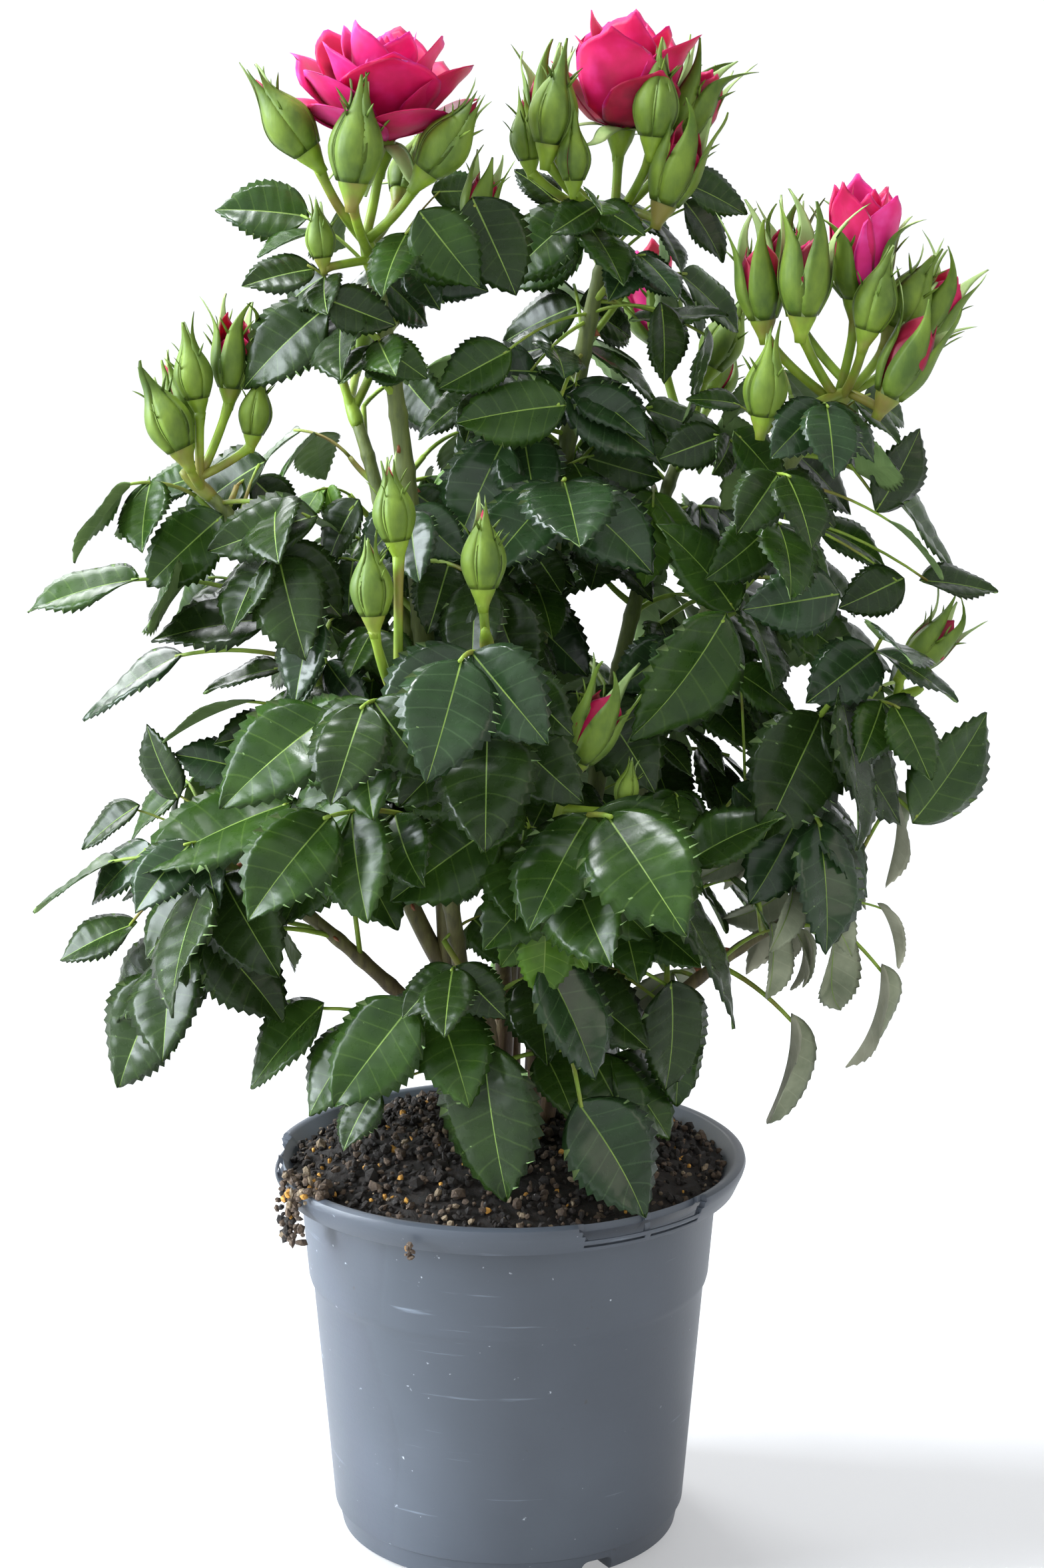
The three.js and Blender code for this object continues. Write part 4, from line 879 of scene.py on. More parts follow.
# Heights up a head that leaves keep away from, and how far they keep.
HEAD_PLACES = {
    "bud": ((4, 12, 20, 28), 8),
    "split": ((4, 12, 20, 28), 8),
    "half": ((4, 18), 12),
    "cup": ((4, 18), 17),
    "bloom": ((8, 18), 25),
}
LIMB_PARTS = 40
LIMB_GAP = 2.6
STALK_GAP = 5


def neck_of(bough, head):
    """Where a head of the truss on a bough's tip stands."""
    return np.array(bough["tip"], dtype=float) + head[:3]


def lean_way(lean):
    """The way that a head leans: right, back, against one up."""
    return unit(np.array([*lean, 1.0]))


solid_places, solid_gaps = [], []
for bough in BOUGHS:
    for share in np.arange(LIMB_PARTS + 1) / LIMB_PARTS:
        solid_places.append(bezier(curves[bough["name"]], share))
        solid_gaps.append(bough_radius(bough, share) + LIMB_GAP)
    for head in TRUSSES.get(bough["name"], []):
        reach, gap = HEAD_PLACES[head[4]]
        for rise in reach:
            solid_places.append(neck_of(bough, head) + lean_way(head[3]) * rise * head[5])
            solid_gaps.append(gap * head[5])
        for share in (0, 0.25, 0.5, 0.75):
            solid_places.append(np.array(bough["tip"]) * (1 - share) + neck_of(bough, head) * share)
            solid_gaps.append(STALK_GAP)
solid_places, solid_gaps = np.array(solid_places), np.array(solid_gaps)
taken_places = np.empty((0, 3))


def leaflet(base, along, long, plan):
    """A leaflet that turns its face up, outward and to the light, or only up where it lies flat."""
    outward = LEAF["flat_outward" if plan is LEAF["flat"] else "outward"]
    face = unit(base * (1, 1, 0) - (0, LEAF["light"], 0)) * outward + (0, 0, 1)
    face = unit(face - along * face.dot(along))
    return {"base": base, "along": along, "face": face, "length": long, "width": long * LEAF["width_share"]}


def laid_leaf(start, joint, tip, plan):
    """A leaf whose stalk arches from the bough to a joint, and whose end leaflet runs on to a tip."""
    way = joint - start
    arch = [start, (start + joint) / 2 + (0, 0, LEAF["arch"] * np.linalg.norm(way)), joint]
    size = np.linalg.norm(tip - joint)
    along = (tip - joint) / size
    azimuth = math.degrees(math.atan2(way[1], way[0]))
    leaflets = []
    for k, (place, share_of_end) in enumerate(zip(plan["pairs"], plan["sizes"])):
        for side in (-1, 1):
            aside = azimuth + side * (LEAF["side_angle"] - 8 * k)
            away = heading(aside, math.degrees(math.asin(along[2])) / 2 - 12)
            leaflets.append(leaflet(bezier(arch, place / plan["length"]), away, size * share_of_end, plan))
    leaflets.append(leaflet(joint - along * LEAF["sunk"], along, size, plan))
    return {"stalk": [bezier(arch, share) for share in np.linspace(0, 1, 9)], "leaflets": leaflets}


def leaf_shape(start, azimuth, rise, fall, size, plan):
    """The stalk's places and the leaflets of one leaf, which bends down evenly as it goes out."""
    length = size * plan["length"]
    drop = fall * LEAF["bend"]
    curl = math.radians(drop) / length

    def at(share):
        high, low = math.radians(rise), math.radians(rise - drop * share)
        out = (math.sin(high) - math.sin(low)) / curl
        return start + heading(azimuth, 0) * out + np.array([0, 0, (math.cos(low) - math.cos(high)) / curl])

    leaflets = []
    for k, (place, share_of_end) in enumerate(zip(plan["pairs"], plan["sizes"])):
        share = place / plan["length"]
        for side in (-1, 1):
            aside = azimuth + side * (LEAF["side_angle"] - 8 * k)
            along = heading(aside, (rise - drop * share) * 0.4 - LEAF["hang"])
            leaflets.append(leaflet(at(share), along, size * share_of_end, plan))
    end = heading(azimuth, rise - drop - LEAF["end_hang"])
    leaflets.append(leaflet(at(1 - LEAF["sunk"] / length), end, size, plan))
    return {"stalk": [at(share) for share in np.linspace(0, 1, 9)], "leaflets": leaflets}


def leaf_places(leaf):
    """Places spread over a leaf, by which it is kept apart from all that is there already."""
    places = list(leaf["stalk"][3::2])
    for one in leaf["leaflets"]:
        across = np.cross(one["along"], one["face"])
        for u, v in LEAF["places"]:
            places.append(one["base"] + one["along"] * u * one["length"] + across * v * one["width"])
    return np.array(places)


def is_clear(places, start, clearance):
    """Whether a leaf's places keep off the pot, the leaves, the limbs and the buds."""
    eye = np.array(EYE)
    seen = eye + (places - eye) * (eye[1] / (eye[1] - places[:, 1]))[:, None]
    for x, z, wide, high in OPENINGS:
        if np.any(((seen[:, 0] - x) / wide) ** 2 + ((seen[:, 2] - z) / high) ** 2 < 1):
            return False
    out = np.hypot(places[:, 0], places[:, 1])
    ground = np.interp(out, *LEAF["ground"])
    if np.any((places[:, 2] < ground) & (out < RIM_RADIUS + clearance)):
        return False
    if len(taken_places) and np.min(np.linalg.norm(places[:, None] - taken_places, axis=2)) < clearance:
        return False
    far = places[np.linalg.norm(places - start, axis=1) >= LEAF["own_reach"]]
    return not np.any(np.linalg.norm(far[:, None] - solid_places, axis=2) < solid_gaps)


def settle(leaf, start, clearance):
    """Whether a leaf is clear where it is. If it is, its places are taken from then on."""
    global taken_places
    places = leaf_places(leaf)
    if not is_clear(places, start, clearance):
        return False
    taken_places = np.concatenate([taken_places, places])
    return True


def grow_leaf(start, azimuth, rise, fall, size, plan, clearance):
    """The first leaf of those tried a little round, or up and down, that is clear, or nothing."""
    for turn, tilt in LEAF["tries"]:
        leaf = leaf_shape(start, azimuth + turn, rise + tilt, fall, size, plan)
        if settle(leaf, start, clearance):
            return leaf
    return None


def own_leaves_of(bough):
    """A bough's leaves that stand out, each moved forward or back until it is clear."""
    grown = []
    for share, joint, tip, plan in OWN_LEAVES.get(bough["name"], ()):
        start = bezier(curves[bough["name"]], share)
        for shift in LEAF["shifts"]:
            move = np.array([0, shift, 0])
            leaf = laid_leaf(start, joint + move, tip + move, LEAF[plan])
            if settle(leaf, start, LEAF["own_clearance"]):
                grown.append(leaf)
                break
    return grown


def leaves_of(bough, number):
    """A bough's leaves, each turned on from the last."""
    grown = []
    for i in range(bough["leaves"]):
        share = leaf_share(bough, i)
        up = (share - bough["bare"]) / (1 - bough["bare"])
        low, high = bough["size"]
        size = (low + (high - low) * up) * (0.86 + 0.22 * chance(number, i, 2))
        azimuth = bough["first"] + LEAF["turn"] * i + 30 * (chance(number, i, 3) - 0.5)
        rise = bough["rise"] + 18 * (chance(number, i, 4) - 0.5) + 14 * up
        fall = bough["fall"] * (0.8 + 0.4 * chance(number, i, 5))
        plan = LEAF["three"] if up > LEAF["three_from"] else LEAF["five"]
        start = bezier(curves[bough["name"]], share)
        leaf = grow_leaf(start, azimuth, rise, fall, size, plan, LEAF["clearance"])
        if leaf:
            grown.append(leaf)
    return grown


def small_leaves_of(bough, number):
    """The same rule carried on: short twigs between a bough's leaves, with a small leaf on each."""
    grown = []
    count = round(bough["leaves"] * SMALL_LEAVES["each"])
    for i in range(count):
        share = bough["bare"] + 0.06 + (0.9 - bough["bare"]) * (i + 0.5 + 0.3 * chance(number, i, 11)) / count
        up = (share - bough["bare"]) / (1 - bough["bare"])
        size = bough["size"][1] * SMALL_LEAVES["size"] * (0.75 + 0.5 * chance(number, i, 12))
        azimuth = bough["first"] + 70 + LEAF["turn"] * i + 60 * chance(number, i, 13)
        low, high = SMALL_LEAVES["twig"]
        foot = bezier(curves[bough["name"]], share)
        start = foot + heading(azimuth, 42) * (low + (high - low) * chance(number, i, 14))
        plan = LEAF["three"] if up > SMALL_LEAVES["three_from"] else LEAF["five"]
        leaf = grow_leaf(start, azimuth, 30 + 20 * chance(number, i, 15), bough["fall"], size, plan,
                         SMALL_LEAVES["clearance"])
        if leaf:
            leaf["twig"] = [foot, (foot + start) / 2 + heading(azimuth, 0) * 1.2, start]
            grown.append(leaf)
    return grown


def shell(grid, thick):
    """A thin sheet's corners and faces from a grid of places: upper side, lower side, one shared edge.

    Columns of the grid run left to right as seen from above, with rows running away.
    """
    rows, columns = grid.shape[:2]
    normal = np.cross(np.gradient(grid, axis=1), np.gradient(grid, axis=0))
    normal /= np.linalg.norm(normal, axis=2, keepdims=True) + 1e-12
    upper = np.arange(rows * columns).reshape(rows, columns)
    lower = upper.copy()
    lower[1:-1, 1:-1] = rows * columns + np.arange((rows - 2) * (columns - 2)).reshape(rows - 2, columns - 2)
    under = (grid - normal * thick)[1:-1, 1:-1].reshape(-1, 3)
    corners = np.concatenate([grid.reshape(-1, 3), under])

    def quads(index, flip):
        a, b, c, d = index[:-1, :-1], index[:-1, 1:], index[1:, 1:], index[1:, :-1]
        order = (d, c, b, a) if flip else (a, b, c, d)
        return np.stack(order, axis=-1).reshape(-1, 4)

    return corners, quads(upper, False).tolist(), quads(lower, True).tolist()


def add_leaflet(growth, one, tone, luck, wilt=0.0):
    """A leaflet: a toothed outline, a fold along the midrib, and skin that is quilted by its veins."""
    length, width = one["length"], one["width"] * (BLADE["full"] - BLADE["shrink"] * wilt)
    along = one["along"]
    roll = math.radians(luck.normal() * BLADE["roll"])
    level = np.cross(along, one["face"])
    across = level * math.cos(roll) + one["face"] * math.sin(roll)
    face = one["face"] * math.cos(roll) - level * math.sin(roll)
    u = np.linspace(0, 1, LEAF_ROWS)
    half = np.maximum(np.interp(u, *LEAFLET_OUTLINE) * width / 2, 0.1)
    bite = np.interp(u, *TOOTH_DEPTH)
    tip_row = np.arange(LEAF_ROWS) % 2
    step = length / (LEAF_ROWS - 1)
    rib = np.minimum(0.24 * (1 - 0.7 * u), half * 0.5)
    columns = (-1, -0.72, -0.4, -0.5, 0.5, 0.4, 0.72, 1)
    bend, fold, curl = [sum(part * by for part, by in zip(BLADE[kind], (1, luck.uniform(), wilt)))
                        for kind in ("bend", "fold", "curl")]
    bend = math.radians(bend)
    steady, drooping = BLADE["twist"]
    twist = math.radians(luck.normal() * steady + drooping * wilt * luck.normal())
    wave = luck.uniform(0, 2 * math.pi)
    grid = np.empty((LEAF_ROWS, len(columns), 3))
    across_uv = np.empty((LEAF_ROWS, len(columns), 2))
    turned_by = bend * u
    reach = length * np.sin(turned_by) / bend
    drop = length * (1 - np.cos(turned_by)) / bend
    for j, share in enumerate(columns):
        middle = j in (3, 4)
        y = np.sign(share) * rib if middle else share * half
        s = np.zeros(LEAF_ROWS)
        if abs(share) == 1:
            y = y * (1 + bite * (0.1 * tip_row - 0.06))
            s = bite * step * (0.75 * tip_row - 0.1)
        v = np.abs(y) / np.maximum(half, 0.1)
        z = fold * np.abs(y) - curl * y ** 2 / (width / 2)
        z = z + BLADE["wave"] * width * np.sin(2 * math.pi * 1.4 * u + wave + (share > 0)) * v ** 2
        phase = u * VEIN_PAIRS - v * VEIN_SWEEP * 0.5
        quilted = np.abs(np.sin(math.pi * phase)) * np.minimum(v * 2.2, 1) * (1 - v ** 3) * bite
        z = z + BLADE["quilt"] * width * quilted
        if middle:
            z = z - BLADE["groove"]
        angle = twist * u
        side = across * np.cos(angle)[:, None] + face * np.sin(angle)[:, None]
        up = face * np.cos(angle)[:, None] - across * np.sin(angle)[:, None]
        up_bent = up * np.cos(turned_by)[:, None] + along * np.sin(turned_by)[:, None]
        ahead = along * np.cos(turned_by)[:, None] - up * np.sin(turned_by)[:, None]
        spine = one["base"] + along * reach[:, None] - up * drop[:, None]
        grid[:, j] = spine + ahead * s[:, None] + side * y[:, None] + up_bent * z[:, None]
        across_uv[:, j] = np.stack([u, 0.5 + 0.5 * np.sign(share) * v], axis=1)
    corners, top_faces, under_faces = shell(grid, BLADE["thick"])
    bands = len(columns) - 1
    top_tones = [MIDRIB if k % bands == bands // 2 else tone for k in range(len(top_faces))]
    under = UNDERSIDE_GREY if tone == WILTED else UNDERSIDE
    uv = np.concatenate([across_uv.reshape(-1, 2), across_uv[1:-1, 1:-1].reshape(-1, 2)])
    growth.add(corners, top_faces + under_faces, top_tones + [under] * len(under_faces), uv)


def leaf_skin(name, deep, light, vein, roughness, coat=0.0, bump=0.5):
    """Leaf skin: two near greens in clouds, fine pale veins that sweep forward, and a waxy gloss."""
    material, nodes, links, shader = new_finish(name, coat_weight=coat, coat_roughness=0.22)
    shader.inputs["Specular IOR Level"].default_value = 0.2
    patches = grain(nodes, links, 90, 4)
    skin = tinted(nodes, links, patches, [(0.3, deep), (0.7, light)])
    uv = nodes.new("ShaderNodeUVMap")
    uv.uv_map = "UVMap"
    axes = nodes.new("ShaderNodeSeparateXYZ")
    links.new(uv.outputs["UV"], axes.inputs["Vector"])

    def work(operation, first, second, third=None):
        node = nodes.new("ShaderNodeMath")
        node.operation = operation
        for socket, value in zip(node.inputs, (first, second, third)):
            if isinstance(value, (int, float)):
                socket.default_value = value
            elif value is not None:
                links.new(value, socket)
        return node.outputs[0]

    side = work("ABSOLUTE", work("SUBTRACT", axes.outputs["Y"], 0.5), None)
    sweep = work("MULTIPLY_ADD", side, -VEIN_SWEEP, work("MULTIPLY", axes.outputs["X"], VEIN_PAIRS))
    off_vein = work("PINGPONG", sweep, 0.5)
    line = spread(nodes, links, off_vein, 1, 0, 0.01, 0.055)
    faint = work("MULTIPLY", line, 0.22)
    links.new(mixed(nodes, links, faint, skin, vein), shader.inputs["Base Color"])
    links.new(spread(nodes, links, grain(nodes, links, 300, 3), roughness - 0.05, roughness + 0.1),
              shader.inputs["Roughness"])
    raised(nodes, links, shader, grain(nodes, links, 1500, 3), 0.12 * bump, 0.0003)
    raised(nodes, links, shader, line, -0.35 * bump, 0.0003)
    return material


leaf_finishes = [
    leaf_skin("Leaf dark", colour(22, 37, 12), colour(34, 52, 18), colour(78, 100, 46), 0.25),
    leaf_skin("Leaf green", colour(26, 48, 13), colour(43, 67, 20), colour(90, 116, 48), 0.27),
    leaf_skin("Leaf blue green", colour(23, 40, 19), colour(36, 58, 30), colour(84, 110, 70), 0.22, 0.2),
    # Pale yellow-green for small young leaves: partly their own colour, partly painted glow of light shining
    # through them from behind.
    leaf_skin("Leaf young with painted glow", colour(48, 78, 18), colour(76, 110, 30), colour(124, 152, 62), 0.38),
    leaf_skin("Leaf wilted", colour(88, 96, 74), colour(134, 140, 116), colour(152, 156, 130), 0.6, bump=1.4),
    leaf_skin("Leaf underside", colour(84, 108, 62), colour(112, 136, 82), colour(140, 164, 106), 0.65,
              bump=1.2),
    leaf_skin("Wilted underside", colour(128, 130, 110), colour(166, 166, 146), colour(176, 176, 154), 0.75,
              bump=1.4),
]
GREEN, YOUNG_PAINTED_GLOW, WILTED, UNDERSIDE, UNDERSIDE_GREY, MIDRIB = 1, 3, 4, 5, 6, 7


def fleshy(name, low, high, roughness, blush=None):
    """Young stalk or bud skin: clouds of two greens, with a blush of red where it has caught the sun."""
    material, nodes, links, shader = new_finish(name)
    shader.inputs["Specular IOR Level"].default_value = 0.34
    skin = tinted(nodes, links, grain(nodes, links, 160, 4, (1, 1, 0.5)), [(0.3, low), (0.7, high)])
    if blush:
        patch = spread(nodes, links, grain(nodes, links, 60, 3), 0, 0.75, 0.52, 0.68)
        skin = mixed(nodes, links, patch, skin, blush)
    links.new(skin, shader.inputs["Base Color"])
    links.new(spread(nodes, links, grain(nodes, links, 400, 2), roughness, roughness + 0.12),
              shader.inputs["Roughness"])
    raised(nodes, links, shader, grain(nodes, links, 900, 4, (1, 1, 0.25)), 0.3, 0.0003)
    return material


leaf_finishes.append(fleshy("Midrib", colour(82, 108, 40), colour(118, 144, 60), 0.45))
stalk_green = fleshy("Leaf stalk", colour(100, 128, 40), colour(138, 162, 58), 0.45, colour(112, 76, 44))

foliage = {bough["name"]: own_leaves_of(bough) for bough in reversed(BOUGHS)}
for grow in (leaves_of, small_leaves_of):
    for number, bough in reversed(list(enumerate(BOUGHS))):
        foliage[bough["name"]] += grow(bough, number)

for number, bough in enumerate(BOUGHS):
    blades, stalks = Growth(), Growth()
    luck = np.random.default_rng(300 + number)
    for leaf in foliage[bough["name"]]:
        withered = bough["name"] == WITHERED
        tone = WILTED if withered else int(luck.choice(4, p=TONE_SHARES))
        size = leaf["leaflets"][-1]["length"]
        # Only small leaves keep the pale young tone with its painted glow, and larger ones turn plain green.
        if tone == YOUNG_PAINTED_GLOW and size > YOUNG_LEAF:
            tone = GREEN
        for one in leaf["leaflets"]:
            add_leaflet(blades, one, tone, luck, WILT if withered else 0)
        stalks.add(*tube(leaf["stalk"], np.linspace(0.024, 0.016, len(leaf["stalk"])) * size, 6), 0)
        if "twig" in leaf:
            twig = [bezier(leaf["twig"], share) for share in np.linspace(0, 1, 6)]
            stalks.add(*tube(twig, np.linspace(1.1, 0.8, 6), 6), 0)
    leaf_blades = blades.piece(f"foliage_{bough['name']}", leaf_finishes)
    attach(leaf_blades, "root")
    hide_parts(f"leaves_{bough['name']}")
    leaf_stalks = stalks.piece(f"leafstalks_{bough['name']}", [stalk_green])
    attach(leaf_stalks, "root")
    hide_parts(f"leaves_{bough['name']}")

# ---- Buds and blooms ----
# Each truss fans out of the cane's tip on green stalks. A head is a green hip with five sepals,
# each drawn out into a leafy tip, wrapped round petals of hot pink that are thin and velvety.
HIP = ((0, -2.6), (1.4, -2.5), (1.7, -0.6), (2.5, 1.4), (3.3, 3.2), (3.8, 5), (3.9, 6.6), (3.6, 7.6),
       (0, 7.8))
BUD_BODY = ((0, 5), (3.2, 6.2), (5, 8), (5.9, 10.6), (5.7, 14), (4.5, 17), (2.8, 20), (1.3, 22.5), (0, 26.2))
# A sepal's middle line as radius and height, half its width along it, and how loose its tip is.
SPREAD_SEPAL = (2.7, 3.3, 3, 2.4, 1.7, 1.1, 0.7, 0.3)
SEPALS = {
    "bud": (((3.8, 4.4), (5.2, 7.4), (6.4, 10.6), (6.2, 14), (5, 17), (3.2, 20), (1.7, 23), (1.6, 28.5)),
            (2.4, 3.7, 4.6, 4.4, 3.6, 2.4, 1.3, 0.4), 1),
    "split": (((3.8, 4.4), (5.3, 7.4), (6.7, 11), (6.8, 15), (6.4, 19), (6.4, 22.5), (7.4, 26.5), (9.5, 32)),
              (2.4, 3.7, 4.5, 4.1, 3.2, 2.2, 1.1, 0.35), 2.6),
    "half": (((3.8, 5), (6, 7.4), (8.4, 10), (9.2, 14), (9.4, 18), (10.4, 22), (12.6, 25), (15.5, 27)),
             (2.4, 3.6, 3.8, 3.2, 2.4, 1.6, 0.9, 0.3), 3),
    "cup": (((3.5, 6.2), (6, 7), (9, 6.6), (12.5, 5.6), (15.5, 4), (18, 2.4), (20, 2), (22, 3)),
            SPREAD_SEPAL, 2.5),
    "bloom": (((3.5, 6.2), (5.6, 5.8), (7.6, 4.2), (9.2, 2), (10.6, -0.6), (12, -3), (13.5, -5), (15, -6.5)),
              SPREAD_SEPAL, 2),
}
# Rings of petals: how many, their middle line out of the hip as radius and height, half their
# width along it, how far the margin rolls out, and how much one side overlaps the next petal.
PETALS = {
    "split": (
        (3, ((2, 6), (5, 9), (5.9, 14), (4.9, 19.5), (2.6, 25)), (3, 6.6, 7.6, 6.2, 2.6), 0.2, 0.9),
    ),
    "half": (
        (3, ((1.4, 6), (3.4, 14), (4.2, 23), (3.2, 33)), (3, 6, 6.5, 3.4), 0.1, 1.1),
        (4, ((1.8, 6), (5.4, 12), (6.4, 21), (5.8, 33)), (3, 7.5, 8.5, 5), 0.5, 1.1),
        (4, ((2, 6), (7, 10), (8, 18), (8.2, 26), (9.6, 33)), (3, 8, 9, 7.5, 3.6), 1.6, 0.8),
    ),
    "cup": (
        (3, ((1.4, 6), (3.6, 15), (4.8, 24), (4.6, 33)), (3, 6, 6.8, 4.6), 0.3, 1.2),
        (4, ((1.8, 6), (6.4, 13), (8.8, 23), (10, 33.5)), (3, 8.5, 10, 7), 1.2, 1.3),
        (5, ((2, 6), (8.6, 11), (12, 19), (13.4, 27), (16.8, 32.5)), (3, 10, 12.5, 12, 7), 2.8, 1),
        (3, ((2, 6), (8.8, 8), (12.8, 12), (15.6, 18), (18.4, 22)), (3, 9, 11.5, 10, 5), 2.2, 0.6),
    ),
    "bloom": (
        (4, ((1.4, 7), (3.4, 16), (4.2, 25), (3.6, 33.5)), (3, 5.6, 6.4, 4), 0.2, 1.2),
        (5, ((1.8, 7), (5.8, 15), (7.8, 24), (8.8, 34)), (3, 8, 9.5, 6.5), 1, 1.3),
        (5, ((2, 7), (8, 13.5), (12.2, 22), (15.6, 31.5)), (3, 9.5, 12.5, 9), 2.2, 1.2),
        (6, ((2, 7), (10, 12), (16, 19), (20.4, 26.5), (22.8, 28)), (3, 10, 14, 12, 6), 3.2, 0.8),
        (5, ((2, 7), (10, 9.6), (16.4, 12.8), (21.2, 17.4), (24.2, 18.4)), (3, 9, 13, 11, 5), 2.6, 0.6),
    ),
}
SEPAL_ROWS = 17
PETAL_ROWS = 15
PETAL_COLUMNS = 13
LINE_STEPS = 60
SEPAL, LINING, HIP_GREEN = range(3)
KNOB = 9
KNOB_TAPER = (1, 1.15, 1.25, 1.2, 1.15, 1.05, 0.95, 0.8, 0.4)
STALK_TAPER = ((0, 0.1, 0.8, 1), (1.7, 1.3, 1.25, 1.7))


def along_line(line, half, count):
    """Radii, heights and half widths at even steps along a line of places."""
    line = np.array(line, dtype=float)
    steps = np.concatenate([[0], np.cumsum(np.linalg.norm(np.diff(line, axis=0), axis=1))])
    steps /= steps[-1]
    fine = np.linspace(0, 1, count)
    smooth = np.array([np.interp(fine, steps, column) for column in (line[:, 0], line[:, 1], half)])
    for _ in range(2):
        smooth[:, 1:-1] = (smooth[:, :-2] + 2 * smooth[:, 1:-1] + smooth[:, 2:]) / 4
    return smooth


def frame_of(way):
    """The turn that takes +Z to a way."""
    return np.array(Vector((0, 0, 1)).rotation_difference(Vector(way)).to_matrix())


def lathe(profile, sides):
    """Corners and faces of a turned solid whose profile starts and ends on the axis."""
    rings = [(r * math.cos(a), r * math.sin(a), z)
             for r, z in profile[1:-1] for a in np.arange(sides) * 2 * math.pi / sides]
    corners = np.array([*rings, (0, 0, profile[0][1]), (0, 0, profile[-1][1])])
    return corners, limb_faces(len(profile) - 2, sides)


def add_sepal(growth, azimuth, form, size, luck, neck, turn):
    """A sepal: a green blade that wraps the petals and runs out into a twisted leafy tip."""
    line, half, loose = form
    radii, heights, half = along_line(line, half, SEPAL_ROWS)
    u = np.linspace(0, 1, SEPAL_ROWS)
    free = np.clip((u - 0.62) / 0.38, 0, 1)
    radii = radii + loose * free ** 2 * luck.normal() * 1.2
    heights = heights + free * luck.normal() * 1.5
    swing = free ** 1.5 * luck.normal() * 0.5
    grid = np.empty((SEPAL_ROWS, 5, 3))
    for j, share in enumerate((-1, -0.5, 0, 0.5, 1)):
        y = share * half
        wrap = np.maximum(radii, 1.9)
        angle = math.radians(azimuth) + swing + y / wrap
        out = radii + 0.35 * (1 - abs(share)) * (1 - free)
        grid[:, j] = np.stack([out * np.cos(angle), out * np.sin(angle), heights], axis=1)
    corners, upper, under = shell(grid, 0.4)
    tones = [SEPAL] * len(upper) + [LINING] * len(under)
    growth.add(corners * size @ turn.T + neck, upper + under, tones)
    for k in range(int(luck.integers(0, 3))):
        row = int(luck.integers(7, 12))
        side = -1 if k % 2 else 1
        foot = grid[row, 0 if side < 0 else 4]
        out = unit(grid[row, 2] * (1, 1, 0))
        around_way = np.cross((0, 0, 1), out) * side
        lobe = unit(around_way * 0.7 + out * 0.35 + np.array([0, 0, 1.1]))
        length = 3.2 + 2.4 * luck.uniform()
        edge = unit(np.cross(lobe, out))
        rows = [[foot + lobe * length * s + out * 0.8 * s ** 2 + edge * w * e for e in (-0.5, 0, 0.5)]
                for s, w in ((-0.1, 0.9), (0.4, 0.8), (0.75, 0.5), (1, 0.12))]
        corners, upper, under = shell(np.array(rows), 0.3)
        growth.add(corners * size @ turn.T + neck, upper + under, SEPAL)


def add_petal(growth, azimuth, ring, size, luck, neck, turn, tone):
    """A petal: cupped out of the hip, with a margin that rolls out and comes to a soft point."""
    _, line, half, roll, slant = ring
    radii, heights, half = along_line(line, half, LINE_STEPS)
    tall = 1 + 0.05 * luck.normal()
    spread_by = 1 + 0.07 * luck.normal()
    phase = luck.uniform(0, 2 * math.pi)
    point = 0.05 + 0.04 * luck.uniform()
    lean = luck.normal() * 0.12
    u, t = np.meshgrid(np.linspace(0, 1, PETAL_ROWS), np.linspace(-1, 1, PETAL_COLUMNS), indexing="ij")
    margin = 1 - point - 0.2 * np.abs(t) ** 2.4 + point * np.exp(-(((t - lean) / 0.22) ** 2))
    near = np.clip(u * margin, 0, 1)
    steps = np.linspace(0, 1, LINE_STEPS)
    radius = np.interp(near, steps, radii) * spread_by
    height = np.interp(near, steps, heights) * tall
    width = np.interp(near, steps, half)
    y = t * width
    wrap = np.maximum(radius * 1.15, 5.5)
    rolled = roll * (np.abs(t) ** 3 * near ** 2 + 6 * np.clip(near - 0.72, 0, 1) ** 2)
    ripple = 0.035 * width * np.sin(3.2 * t + phase) * near ** 2 * (1 + roll * 0.5)
    out = radius - wrap * (1 - np.cos(y / wrap)) + rolled + ripple + slant * t * near
    side = wrap * np.sin(y / wrap)
    height = height - 0.35 * rolled
    a = math.radians(azimuth)
    right, back = out * math.cos(a) - side * math.sin(a), out * math.sin(a) + side * math.cos(a)
    corners, upper, under = shell(np.stack([right, back, height], axis=2), 0.35)
    growth.add(corners * size @ turn.T + neck, upper + under, tone)


def petal_skin(name, deep, light, glow):
    """Petal skin: velvety, with soft clouds of tone and fine lines that run through it."""
    material, nodes, links, shader = new_finish(name, sheen_weight=0.06, sheen_roughness=0.4,
                                                subsurface_weight=0.12, subsurface_scale=0.003)
    shader.inputs["Subsurface Radius"].default_value = (1, 0.2, 0.3)
    shader.inputs["Specular IOR Level"].default_value = 0.3
    clouds = grain(nodes, links, 110, 3)
    links.new(tinted(nodes, links, clouds, [(0.3, deep), (0.55, light), (0.78, glow)]),
              shader.inputs["Base Color"])
    links.new(spread(nodes, links, clouds, 0.48, 0.62), shader.inputs["Roughness"])
    raised(nodes, links, shader, grain(nodes, links, 700, 4, (1, 1, 0.3)), 0.16, 0.0003)
    return material


